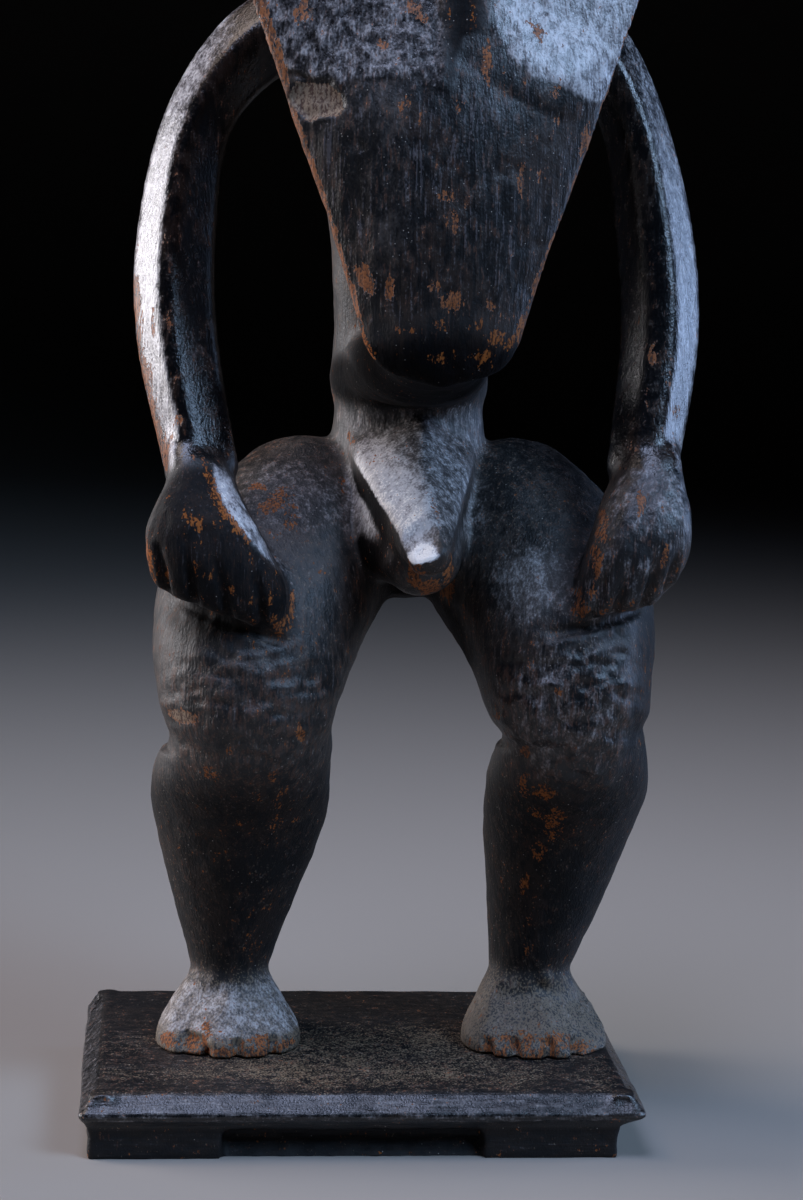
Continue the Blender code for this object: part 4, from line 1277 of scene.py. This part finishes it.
class Wear:
    """Where a carved piece is worn, dusty, polished or bare, and where it has painted shade and painted sheen,
    kept as attributes that its finish reads.
    """

    def __init__(self, thing: bpy.types.Object, layout: Layout) -> None:
        """Reads the finished mesh of a piece."""
        self.thing = thing
        self.skin = Skin(thing, layout)
        self.x, self.y, self.z = self.skin.place.T

    def swell(self, size: Triple, seed: int, octaves: int = 2) -> Array:
        """Rolling noise from -1 to 1 all over the piece."""
        return Grit.swell(self.skin.place, size, seed, octaves)

    def layers(self) -> dict[str, Array]:
        """The layers of wear and of painted shade and sheen, each under the name by which the finish reads it.
        """
        raise NotImplementedError

    def keep(self) -> None:
        """Writes the layers into the mesh."""
        for name, values in self.layers().items():
            layer = self.thing.data.attributes.new(name, "FLOAT", "POINT")
            layer.data.foreach_set("value", values.clip(0, 2).astype(np.float32))


class ManWear(Wear):
    """The wear of the man, with his painted shade and painted sheen."""

    # The flat along the left thumb, seen from the front, where a painted highlight is laid.
    THUMB_FLAT: Line = ((-23.4, 101.6), (-19.6, 99.6), (-16.0, 95.6), (-13.2, 93.0), (-11.4, 88.6),
                        (-10.8, 81.6), (-12.9, 85.6), (-15.6, 88.2), (-18.6, 91.2), (-21.2, 94.5),
                        (-23.0, 98.0))
    # Places given painted shade: under the chin, the belly below it, the side and underside of the wedge, the
    # crotch and the outer side of the right leg.
    UNDER_CHIN = Zone((8.0, -20.0, 117.0), (15.5, 20.0, 9.6), 0.7)
    BELLY = Zone((4.0, -2.0, 112.4), (16.0, 13.0, 4.2), 0.7)
    WEDGE_SIDE = Zone((-0.6, -8.0, 91.0), (6.4, 13.0, 8.4), 0.7)
    WEDGE_UNDERSIDE = Zone((0.0, -12.0, 89.0), (6.0, 13.0, 7.0), 0.5)
    CROTCH = Zone((12.0, 0.0, 78.0), (12.0, 16.0, 12.0), 0.6)
    OUTER_LEG = Zone((42.0, -10.0, 60.0), (6.0, 16.0, 24.0), 0.6)
    # A place rubbed bare below the tip, a painted pool of light on the right thigh, and painted sheen on the
    # waist and the left hip.
    BELOW_TIP = Zone((5.2, -26.0, 86.8), (2.4, 3.4, 3.0), 0.5)
    THIGH = Zone((24.6, -14.0, 83.0), (6.5, 9.0, 6.4), 0.8)
    WAIST = Zone((7.0, 1.0, 104.0), (12.0, 9.0, 7.0), 0.6)
    HIP = Zone((-12.0, -6.0, 95.0), (9.0, 10.0, 6.0), 0.9)
    MIDDLE = 7.0                   # x that parts the man's two sides

    def __init__(self, thing: bpy.types.Object, figure: Figure) -> None:
        """Reads the finished mesh of the man and finds his parts on it."""
        super().__init__(thing, figure.layout)
        skin, z = self.skin, self.z
        self.head, self.loin, self.both_arms = figure.head, figure.loin, figure.arms
        self.right, _, self.up = skin.facing.T
        self.left_side = self.x < self.MIDDLE
        self.face = self.head.front(skin)
        self.upper = self.head.torn(skin, self.face)
        self.chin = self.face * (1 - self.upper)
        self.arms = figure.on_arms(skin)
        self.hands = strongest(*(arm.on_hand(skin) for arm in figure.arms))
        self.body = (1 - self.face) * (1 - self.arms) * (1 - self.hands)
        self.feet = ramp(z, 24.0, 17.0)
        self.shins = self.body * ramp(z, 60.0, 50.0) * (1 - self.feet)
        self.left_knee, self.right_knee = (skin.near(leg.knee, (13.0, 10.0, 11.0), 0.8) for leg in figure.legs)
        self.wedge, self.tip = self.loin.on_wedge(skin), self.loin.on_tip(skin)
        self.thumb = skin.outline(self.THUMB_FLAT, 1.0) * self.hands * skin.fronts(-0.3, 0.1)
        # a painted pool of light on the right thigh
        self.thigh = self.THIGH.on(skin) * ramp(self.up, -0.2, 0.3)
        self.uneven = self.swell((2.2, 2.2, 3.4), 311)
        self.broad = self.swell((5.0, 5.0, 8.0), 321, 3)
        # The large chip of the left knee.
        self.chips = strongest(*(mark.on(skin.place) for mark in MARKS if 60 < mark.z < 75 and mark.wide > 1.5))
        # painted shade: a darker colour laid where shade falls
        self.painted_shade = self.painted_shade_places()

    def painted_shade_places(self) -> Array:
        """How strong the painted shade is where shade falls: in hollows, on undersides, on the chin's lower
        end, below the chin and the hands, on the hands and on the shins.
        """
        skin, z, right, up, face, hands = self.skin, self.z, self.right, self.up, self.face, self.hands
        below_hands = strongest(*(
            skin.near((x, y - 3, z0 - 2.4), (11.0, 9.0, 2.8), 0.9)
            for x, y, z0 in (arm.hand[-1][:3] for arm in self.both_arms)))
        return strongest(
            1.2 * self.UNDER_CHIN.on(skin) * (self.y < -2.5),
            face * ramp(z, 123.0, 117.0),
            0.9 * self.WEDGE_SIDE.on(skin) * ramp(right, -0.35, -0.65) * ramp(up, 0.3, 0.05),
            0.7 * self.upper * skin.line(self.head.valley, 4.0, 1.0),
            0.55 * below_hands * (1 - hands),
            0.6 * self.WEDGE_UNDERSIDE.on(skin) * ramp(up, 0.2, -0.1),
            0.8 * self.CROTCH.on(skin) * ramp(up, 0.0, -0.3) * (1 - face),
            0.62 * hands * self.left_side * (1 - self.thumb),
            0.30 * hands * ~self.left_side * ramp(z, 96.0, 90.0),
            0.5 * self.OUTER_LEG.on(skin) * ramp(right, 0.2, 0.6),
            0.85 * self.BELLY.on(skin) * self.body,
            0.5 * self.shins)

    def rim(self) -> Array:
        """How bare the edge of the face is, wide at the upper left and narrow below."""
        shield = self.head.shield
        width, _, side, _ = shield.at(self.z)
        behind = self.y - side
        inward = width - abs(self.x - shield.middle)
        left = self.x < shield.middle
        reach = np.where(left, 0.62 + 1.15 * ramp(self.z, 144.0, 166.0),
                         0.28 + 0.60 * ramp(self.z, 140.0, 126.0))
        reach += 0.26 * self.swell((1.4, 1.4, 2.6), 301)
        edge = ramp(inward, reach + 0.25, reach - 0.15) * ramp(behind, 2.2, 1.2) * (self.z > 117.5)
        return edge * (np.where(left, 0.95, 0.72) + 0.25 * self.swell((1.6, 1.6, 5.0), 303))

    def bared(self) -> Array:
        """Where the wood is bare: marks, the face's edge and chip, crests of the fingers, toes and wedge."""
        skin, hands, uneven = self.skin, self.hands, self.uneven
        crest = ramp(-skin.hollowness(3), 0.012, 0.04)
        toes = ramp(self.z, 14.6, 12.2) * ramp(self.y, -6.0, -9.0)
        return (1 - self.tip) * strongest(
            *(mark.on(skin.place) for mark in MARKS),
            self.rim(),
            skin.outline(self.head.chip, 0.8) * self.face * 1.4,
            crest * hands * (0.35 + 0.3 * uneven),
            toes * (0.50 + 0.3 * uneven),
            self.BELOW_TIP.on(skin) * (1 - self.tip) * (0.66 + 0.5 * uneven),
            1.5 * self.chips)

    def filmed_and_lit(self) -> Array:
        """Where a dull film of dust lies, and where the same grey film is painted light: a pool of light on the
        right thigh, a lighter left foot and the lit upper faces of the wedge.
        """
        dust_film_and_light = strongest(
            self.body * (0.42 + 0.40 * self.broad) * (1 - 0.25 * self.shins),
            1.05 * self.thigh,
            self.feet * (np.where(self.left_side, 0.80, 0.52) + 0.2 * self.uneven),
            self.hands * 0.12,
            self.chin * (0.08 + 0.38 * self.swell((5.0, 5.0, 8.0), 331, 3) + 0.25 * ramp(self.x, 8.0, 0.0)),
            self.arms * 0.30 * (0.5 + self.broad))
        return (dust_film_and_light + self.wedge * (0.78 - dust_film_and_light)) * (1 - self.painted_shade)

    def scuffed(self) -> Array:
        """Where brown wood shows through the crust."""
        z = self.z
        return (1 - 0.5 * self.painted_shade) * strongest(
            self.body * (0.30 + 0.35 * self.swell((6.0, 6.0, 12.0), 341, 3)),
            0.42 * self.hands, 0.30 * self.face, 0.18 * self.arms,
            0.55 * self.body * ramp(z, 78.0, 70.0) * ramp(z, 46.0, 56.0) * self.skin.fronts(0.2, 0.7))

    def polished(self) -> Array:
        """Where hands have polished the crust."""
        return (1 - self.painted_shade) * strongest(
            1.25 * self.arms, 0.8 * self.upper, 0.6 * self.hands, 1.3 * self.tip, 0.25 * self.left_knee,
            0.65 * self.right_knee, 0.45 * self.face, 0.45 * self.wedge)

    def paled(self) -> Array:
        """Where a pale painted sheen stands in for light on lit faces, above 1 where the painted highlight is
        all but white.
        """
        skin, x, z, right, up = self.skin, self.x, self.z, self.right, self.up
        band = skin.outline(self.loin.band, 4.4) * self.wedge
        # painted light: the tops of the feet lighter where they face up, more on the left
        tops = ramp(z, 25.0, 18.0) * ramp(z, 11.8, 13.2) * ramp(up, 0.05, 0.5)
        # painted highlight on the left arm's faces that look left
        left_arm = (0.66 - 0.6 * self.uneven * ramp(z, 116.0, 100.0)) * ramp(right, -0.35, -0.75)
        return (1 - self.painted_shade) * strongest(
            self.wedge * (0.42 + 0.08 * ramp(x, 6.0, 0.0)) + band * (0.42 + 0.50 * ramp(z, 104.0, 92.0)),
            # painted white highlight on the small flat of the tip
            1.84 * self.tip,
            0.32 * (self.WAIST.on(skin) * skin.fronts(-0.2, 0.3)),
            tops * np.where(self.left_side, 0.50, 0.10),
            self.upper * ramp(x, 10.5, 18.0) * 0.66,
            self.upper * ramp(x, 9.5, 5.5) * 0.34,
            self.arms * np.where(self.left_side, left_arm, 0.42 * ramp(right, 0.3, 0.7)),
            self.thumb * (0.95 + 0.5 * self.uneven),
            0.42 * self.thigh,
            0.30 * (self.HIP.on(skin) * ramp(up, 0.2, 0.6)),
            0.32 * self.right_knee * (0.7 + 0.8 * self.broad) * ramp(x, 39.0, 35.0),
            0.36 * self.hands * ~self.left_side * (0.7 + 0.8 * self.uneven))

    def lined(self) -> Array:
        """Where fine upright scratches catch the light."""
        chin = self.chin * (0.75 + 0.5 * self.swell((4.0, 4.0, 9.0), 351)) * (1 - self.painted_shade)
        return chin + 0.45 * self.body * ramp(self.z, 40.0, 52.0) * self.skin.fronts() + 0.55 * self.hands

    def layers(self) -> dict[str, Array]:
        """The layers of wear and of painted shade and sheen, each under the name by which the finish reads it.
        """
        chip = self.skin.outline(self.head.chip, 2.0)
        return {
            "bare": self.bared() * (1 - 0.5 * self.painted_shade), "dust_film_and_light": self.filmed_and_lit(), "polish": self.polished(),
            "scuff": self.scuffed(), "pale": self.paled(), "painted_shade": self.painted_shade,
            "dirt": 0.14 * self.body + 0.6 * self.feet, "lined": self.lined(),
            "speck": 0.85 * self.face + 0.15 * self.left_knee + 0.10 * self.body,
            "tan": strongest(1.5 * chip * self.face, self.chips)}


class PlinthWear(Wear):
    """The wear of the plinth, with its painted shade and painted sheen."""

    def __init__(self, thing: bpy.types.Object, plinth: Plinth) -> None:
        """Reads the finished mesh of the plinth."""
        super().__init__(thing, plinth.layout)
        self.plinth = plinth

    def layers(self) -> dict[str, Array]:
        """The layers of wear and of painted shade and sheen, each under the name by which the finish reads it.
        """
        skin, x, y, z = self.skin, self.x, self.y, self.z
        top = ramp(skin.facing[:, 2], 0.75, 0.95) * (z > self.plinth.height - 1.0)
        low = ramp(z, 5.4, 4.4)
        border = ramp(z, 5.4, 6.4) * (1 - top)
        before = ramp(y, 16.0, -4.0)
        between = ramp(abs(x - 4.0), 34.0, 12.0) * ramp(y, -28.0, -18.0)
        crest = ramp(-skin.hollowness(2), 0.03, 0.08) * (0.20 + 0.5 * self.swell((3.0, 3.0, 2.0), 401))
        return {
            "bare": strongest(crest, *(skin.line(streak, 0.9) * top for streak in self.plinth.streaks)),
            "dust_film_and_light": top * (0.06 + 0.22 * before + 0.20 * self.swell((8.0, 8.0, 8.0), 411, 3)),
            "polish": 0.85 * border,
            "scuff": top * (0.16 + 0.20 * before) + 0.16 * low + 0.05 * border,
            # painted sheen on the sloping border
            "pale": 0.20 * border,
            # painted shade on the lower tier under the ridge, and darker towards the back of the top
            "painted_shade": strongest(0.45 * low, 0.35 * top * ramp(y, -8.0, 16.0)),
            "dirt": top * before * (0.20 + 0.32 * between + 0.30 * self.swell((6.0, 6.0, 6.0), 421, 3)),
            "lined": np.zeros(skin.count),
            "tan": 0.4 * top,
            "speck": 0.1 * top}


class Recipe:
    """The working parts of one wood finish: patterns in the wood, and masks and sums made of them."""

    def __init__(self, name: str) -> None:
        """Starts an empty material of that name."""
        self.material = bpy.data.materials.new(name)
        self.material.use_nodes = True
        self.tree = self.material.node_tree
        self.tree.nodes.clear()
        self.place = add_node(self.tree, "ShaderNodeTexCoord").outputs["Object"]

    def pattern(self, size: Triple, detail: float, seed: float = 0.0) -> bpy.types.NodeSocket:
        """A pattern of soft spots or streaks in the wood.

        Args:
            size: the length of one wave along each axis, in mm.
            detail: how many finer layers it has.
            seed: picks the pattern.

        Returns:
            The pattern, from 0 to 1.
        """
        spread = add_node(self.tree, "ShaderNodeMapping", {"Vector": self.place, "Location": (seed, seed, seed),
                                                           "Scale": tuple(1 / (s * MM) for s in size)})
        return add_node(self.tree, "ShaderNodeTexNoise",
                        {"Vector": spread.outputs[0], "Scale": 1.0, "Detail": detail}).outputs[0]

    def weighed(self, *terms: Term, start: float = 0.0) -> bpy.types.NodeSocket:
        """Adds up attributes and patterns by weight.

        Args:
            *terms: an attribute's name or a pattern, and its weight. A pattern is centred on a half first.
            start: what the sum starts from.

        Returns:
            The sum.
        """
        total = start - sum(0.5 * weight for source, weight in terms if not isinstance(source, str))
        for source, weight in terms:
            if isinstance(source, str):
                source = add_node(self.tree, "ShaderNodeAttribute", attribute_name=source).outputs["Fac"]
            total = add_node(self.tree, "ShaderNodeMath", {0: source, 1: weight, 2: total},
                             operation="MULTIPLY_ADD").outputs[0]
        return total

    def mask(self, low: float, high: float, *terms: Term, least: float = 0.0,
             most: float = 1.0) -> bpy.types.NodeSocket:
        """Rises smoothly with a weighed sum, from least where the sum is low to most where it is high.

        Args:
            low: the sum at which the rise starts.
            high: the sum at which it ends.
            *terms: the sum's terms, as in weighed.
            least: the mask's lowest value.
            most: the mask's highest value.

        Returns:
            The mask.
        """
        return add_node(self.tree, "ShaderNodeMapRange",
                        {"Value": self.weighed(*terms), "From Min": low, "From Max": high, "To Min": least,
                         "To Max": most}, interpolation_type="SMOOTHSTEP").outputs[0]


@dataclass(frozen=True)
class SmokedWood:
    """Hardwood blackened by years of smoke, polished where hands hold it and dull with dust elsewhere.

    The crust gives the eye a cool black that glints in fine upright scratches. Where it is thin the brown wood
    shows through in ragged mottles, and where it has chipped off the wood is tan and fibrous. Sizes are in mm.
    """

    name: str
    # Painted shade darkens places where shade falls and dulls their glint; a painted sheen and a painted white
    # highlight lighten lit faces.
    black: str = "#0f0f11"         # the smoke-black crust
    brown: str = "#2a211d"         # where the crust is thin
    film_grey: str = "#47423f"          # the grey film of dust in the pores, also laid as painted light
    grit: str = "#8d7b63"          # tan specks in the film
    rubbed: str = "#55382a"        # wood that shows through the crust
    bare: str = "#985a2e"          # bare wood where the crust has chipped off
    tan: str = "#83705c"           # where a deep chip shows dry inner wood
    bare_dark: str = "#43281a"     # the darker fibres of the bare wood
    glint_white: str = "#f6f3ee"          # the painted white highlight where the painted sheen is strongest
    mote: str = "#a8a098"          # pale specks
    scratched: str = "#68656a"     # the crests of fine upright scratches
    sheen_grey: str = "#888487"     # the grey of the painted sheen
    sheen_bright: str = "#d0cfd2"   # the painted sheen where it is brightest
    shaded_glint: str = "#1c1c1c"     # how little a place with painted shade glints
    gloss: float = 0.6             # strength of the crust's glint
    rough: float = 0.54
    rough_polished: float = 0.27
    rough_dusty: float = 0.62
    fibre: Triple = (0.36, 0.36, 6.0)          # width, width and length of one fibre of the grain
    blotch: Triple = (1.3, 1.3, 2.4)
    fibre_depth: float = 0.085
    pore_depth: float = 0.070
    blotch_depth: float = 0.09
    bare_depth: float = 0.09
    grits: float = 0.5             # how strongly the tan specks show

    def make(self) -> bpy.types.Material:
        """Builds the material.

        Returns:
            The material.
        """
        recipe = Recipe(self.name)
        tree = recipe.tree
        # The pores are a fifth of a millimetre wide, drawn half as wide again so that they show.
        fine = recipe.pattern((0.30, 0.30, 0.42), 3.0)
        grain = recipe.pattern(self.fibre, 3.0, 11.0)
        splinter = recipe.pattern((0.45, 0.45, 2.2), 3.0, 19.0)
        blotch = recipe.pattern(self.blotch, 4.0, 3.0)
        broad = recipe.pattern((7.0, 7.0, 11.0), 3.0, 7.0)
        # The specks are a tenth of a millimetre across, drawn twice as wide so that they show.
        spots = add_node(tree, "ShaderNodeTexVoronoi", {"Vector": recipe.place, "Scale": 1 / (0.9 * MM)})
        chosen = recipe.mask(0.26, 0.28, (spots.outputs["Color"], 1.0), ("speck", 0.33))
        speck = add_node(tree, "ShaderNodeMapRange",
                         {"Value": spots.outputs["Distance"], "From Min": 0.12, "From Max": 0.05,
                          "To Max": chosen})

        bared = recipe.mask(0.50, 0.66, ("bare", 1.0), (splinter, 1.5), (blotch, 1.7), (fine, 1.3),
                            (broad, 0.8))
        dry = add_node(tree, "ShaderNodeMix", {0: recipe.mask(0.2, 0.9, ("tan", 1.0)), 6: linear(self.bare),
                                               7: linear(self.tan)}, data_type="RGBA").outputs[2]
        wood = add_node(tree, "ShaderNodeMix",
                        {0: recipe.mask(-0.14, 0.10, (grain, 0.8), (fine, 0.9)), 6: linear(self.bare_dark),
                         7: dry},
                        data_type="RGBA").outputs[2]
        # the colour of the painted sheen that stands in for light
        sheen = add_node(tree, "ShaderNodeMix",
                         {0: recipe.mask(-0.05, 0.45, ("pale", 0.34), (blotch, 1.3), (fine, 1.0), (grain, 0.7)),
                          6: linear(self.sheen_grey), 7: linear(self.sheen_bright)}, data_type="RGBA").outputs[2]
        colour = linear(self.black)
        for share, over in (
                (recipe.mask(-0.08, 0.12, (broad, 1.0), (blotch, 1.0), (grain, 0.5)), linear(self.brown)),
                # dust film, which also carries painted light on the right thigh, the left foot and the wedge
                (recipe.mask(0.16, 0.90, ("dust_film_and_light", 1.0), (blotch, 1.2), (fine, 0.8), (grain, 0.6), most=0.8),
                 linear(self.film_grey)),
                (recipe.mask(0.28, 0.44, ("dirt", 0.6), (fine, 1.6), (blotch, 0.5), most=self.grits),
                 linear(self.grit)),
                (recipe.mask(0.52, 0.80, ("scuff", 1.0), (splinter, 2.6), (blotch, 1.6), (fine, 1.0),
                             most=0.55),
                 linear(self.rubbed)),
                (recipe.mask(0.33, 0.42, ("lined", 0.30), (grain, 1.2), (fine, 0.5), most=0.38),
                 linear(self.scratched)),
                # painted sheen on lit faces
                (recipe.mask(0.10, 1.0, ("pale", 1.0), (blotch, 0.75), (fine, 0.45), (grain, 0.6), most=0.9),
                 sheen),
                # painted white highlight
                (recipe.mask(1.25, 1.55, ("pale", 1.0), (blotch, 1.6), (splinter, 1.1), (fine, 1.6)),
                 linear(self.glint_white)),
                # painted shade: black laid where shade falls
                (recipe.mask(0.2, 1.0, ("painted_shade", 1.0), (blotch, 0.8), most=0.9), linear(self.black)),
                (bared, wood), (speck.outputs[0], linear(self.mote))):
            colour = add_node(tree, "ShaderNodeMix", {0: share, 6: colour, 7: over},
                              data_type="RGBA").outputs[2]

        rough = recipe.weighed(("polish", self.rough_polished - self.rough),
                               ("dust_film_and_light", self.rough_dusty - self.rough), ("painted_shade", 0.45), (bared, 0.22),
                               (fine, 0.26), (splinter, 0.14), (blotch, 0.24), start=self.rough + 0.11)
        relief = recipe.weighed((grain, self.fibre_depth), (fine, self.pore_depth), (blotch, self.blotch_depth))
        calm = recipe.mask(0.0, 1.0, ("polish", 1.0), least=1.15, most=0.75)
        calmed = add_node(tree, "ShaderNodeMath", {0: relief, 1: calm}, operation="MULTIPLY")
        height = add_node(tree, "ShaderNodeMath", {0: bared, 1: -self.bare_depth, 2: calmed.outputs[0]},
                          operation="MULTIPLY_ADD")
        bump = add_node(tree, "ShaderNodeBump", {"Height": height.outputs[0], "Distance": MM, "Strength": 1.0})
        # painted shade also dims the glint where shade falls
        glint = add_node(tree, "ShaderNodeMix",
                         {0: recipe.mask(0.1, 0.9, ("painted_shade", 1.0)), 6: linear("#ffffff"),
                          7: linear(self.shaded_glint)}, data_type="RGBA")
        shader = add_node(tree, "ShaderNodeBsdfPrincipled",
                          {"Base Color": colour, "Roughness": rough, "Normal": bump.outputs[0],
                           "Specular IOR Level": self.gloss, "Specular Tint": glint.outputs[2]})
        add_node(tree, "ShaderNodeOutputMaterial", {"Surface": shader.outputs[0]})
        return recipe.material


# ---- The studio

@dataclass(frozen=True)
class Softbox:
    """An oblong light with a grid that keeps it off what lies beside its aim, in metres, degrees and watts."""

    name: str
    turn: float                    # 0 stands before the carving, -90 to its left, 90 to its right
    rise: float
    wide: float
    high: float
    power: float
    colour: str
    distance: float = 0.9
    spread: float = 50.0
    aim: Triple = (4.0, -12.0, 120.0)          # in the carving's mm

    def place(self, layout: Layout) -> None:
        """Hangs the light."""
        light = bpy.data.lights.new(self.name, "AREA")
        light.shape = "RECTANGLE"
        light.size = self.wide
        light.size_y = self.high
        light.energy = self.power
        light.color = linear(self.colour)[:3]
        light.spread = math.radians(self.spread)
        thing = stand(self.name, light)
        a, b = math.radians(self.turn), math.radians(self.rise)
        away = Vector((math.sin(a) * math.cos(b), -math.cos(a) * math.cos(b), math.sin(b)))
        thing.location = Vector(layout.metres(np.array(self.aim))) + away * self.distance
        thing.rotation_euler = away.to_track_quat("Z", "Y").to_euler()


@dataclass(frozen=True)
class Studio:
    """A pale floor that runs up into a backdrop, five softboxes, and the camera of the photograph."""

    layout: Layout
    eye: Triple = (-30.206, -450.493, 146.119)
    yaw: float = 0.0802
    pitch: float = 0.1479
    roll: float = 0.0233
    lens: float = 90.0
    floor: str = "#9c958c"
    floor_rough: float = 0.85
    world: str = "#2b2d31"
    world_strength: float = 0.03
    run: float = 0.9               # how far the floor runs back before it bends up, in metres
    bend: float = 0.7              # radius of the bend
    wall: float = 2.4              # height of the wall's top
    half: float = 12.0             # half the floor's width
    bend_steps: int = 24
    lights: tuple[Softbox, ...] = (
        Softbox("white softbox, left", -108.0, 10.0, 0.50, 0.50, 0.92, "#fdf9fd"),
        Softbox("white softbox, high left", -97.0, 60.0, 0.50, 0.50, 0.30, "#ffe9de"),
        Softbox("blue softbox, right", 102.0, 6.0, 0.45, 0.50, 0.43, "#aeccfe"),
        Softbox("blue softbox, high right", 50.0, 40.0, 0.40, 0.40, 0.58, "#b2d4fe"),
        Softbox("cool softbox, top", -30.0, 68.0, 0.40, 0.40, 0.42, "#c8d6ff"),
    )

    def camera(self) -> None:
        """Sets up the camera."""
        data = bpy.data.cameras.new("camera")
        data.lens = self.lens
        data.sensor_width = 36.0
        data.clip_start = 0.01
        thing = stand("camera", data)
        ahead = Vector((math.sin(self.yaw) * math.cos(self.pitch), math.cos(self.yaw) * math.cos(self.pitch),
                        -math.sin(self.pitch)))
        right = Vector((math.cos(self.yaw), -math.sin(self.yaw), 0.0))
        up = right.cross(ahead)
        across = right * math.cos(self.roll) + up * math.sin(self.roll)
        rise = -right * math.sin(self.roll) + up * math.cos(self.roll)
        turn = Matrix((across, rise, -ahead)).transposed()
        spot = Vector(self.layout.metres(np.array(self.eye)))
        thing.matrix_world = Matrix.Translation(spot) @ turn.to_4x4()
        bpy.context.scene.camera = thing

    def backdrop(self) -> None:
        """Lays the floor, with a wide curve up into the wall behind."""
        line = [(-self.half, 0.0), (self.run, 0.0)]
        for i in range(1, self.bend_steps + 1):
            a = math.radians(90 * i / self.bend_steps)
            line.append((self.run + self.bend * math.sin(a), self.bend * (1 - math.cos(a))))
        line.append((self.run + self.bend, self.wall))
        bm = bmesh.new()
        rows = [[bm.verts.new((x, y, z)) for y, z in line] for x in (-self.half, self.half)]
        for i in range(len(line) - 1):
            bm.faces.new((rows[0][i], rows[1][i], rows[1][i + 1], rows[0][i + 1]))
        mesh = bpy.data.meshes.new("floor")
        bm.to_mesh(mesh)
        bm.free()
        mesh.shade_smooth()
        floor = stand("floor", mesh)
        material = bpy.data.materials.new("pale studio floor")
        material.use_nodes = True
        shader = material.node_tree.nodes["Principled BSDF"]
        shader.inputs["Base Color"].default_value = linear(self.floor)
        shader.inputs["Roughness"].default_value = self.floor_rough
        mesh.materials.append(material)

    def build(self) -> None:
        """Sets up floor, lights, surroundings and camera."""
        self.backdrop()
        for light in self.lights:
            light.place(self.layout)
        world = bpy.data.worlds.new("studio")
        world.use_nodes = True
        background = world.node_tree.nodes["Background"]
        background.inputs["Color"].default_value = linear(self.world)
        background.inputs["Strength"].default_value = self.world_strength
        bpy.context.scene.world = world
        bpy.context.scene.view_settings.view_transform = "Standard"
        self.camera()


def main() -> None:
    """Builds and dresses the amulet and sets up the studio."""
    logging.basicConfig(level=logging.INFO, format="%(message)s")
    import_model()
    layout = Layout.from_frame()

    figure = Figure(layout)
    man = figure.build()
    ManWear(man, figure).keep()
    man.data.materials.append(SmokedWood("smoke-blackened hardwood").make())
    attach(man, "root")
    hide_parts("figure")

    plinth = Plinth(layout)
    base = plinth.build(SmokedWood("dusty blackened hardwood", fibre=(7.0, 0.5, 0.4), blotch=(1.8, 1.3, 1.0),
                                   brown="#1e1917", grits=0.8, rough=0.46, blotch_depth=0.05).make())
    PlinthWear(base, plinth).keep()
    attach(base, "root")
    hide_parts("plinth")

    Studio(layout).build()


if __name__ == "__main__":
    main()
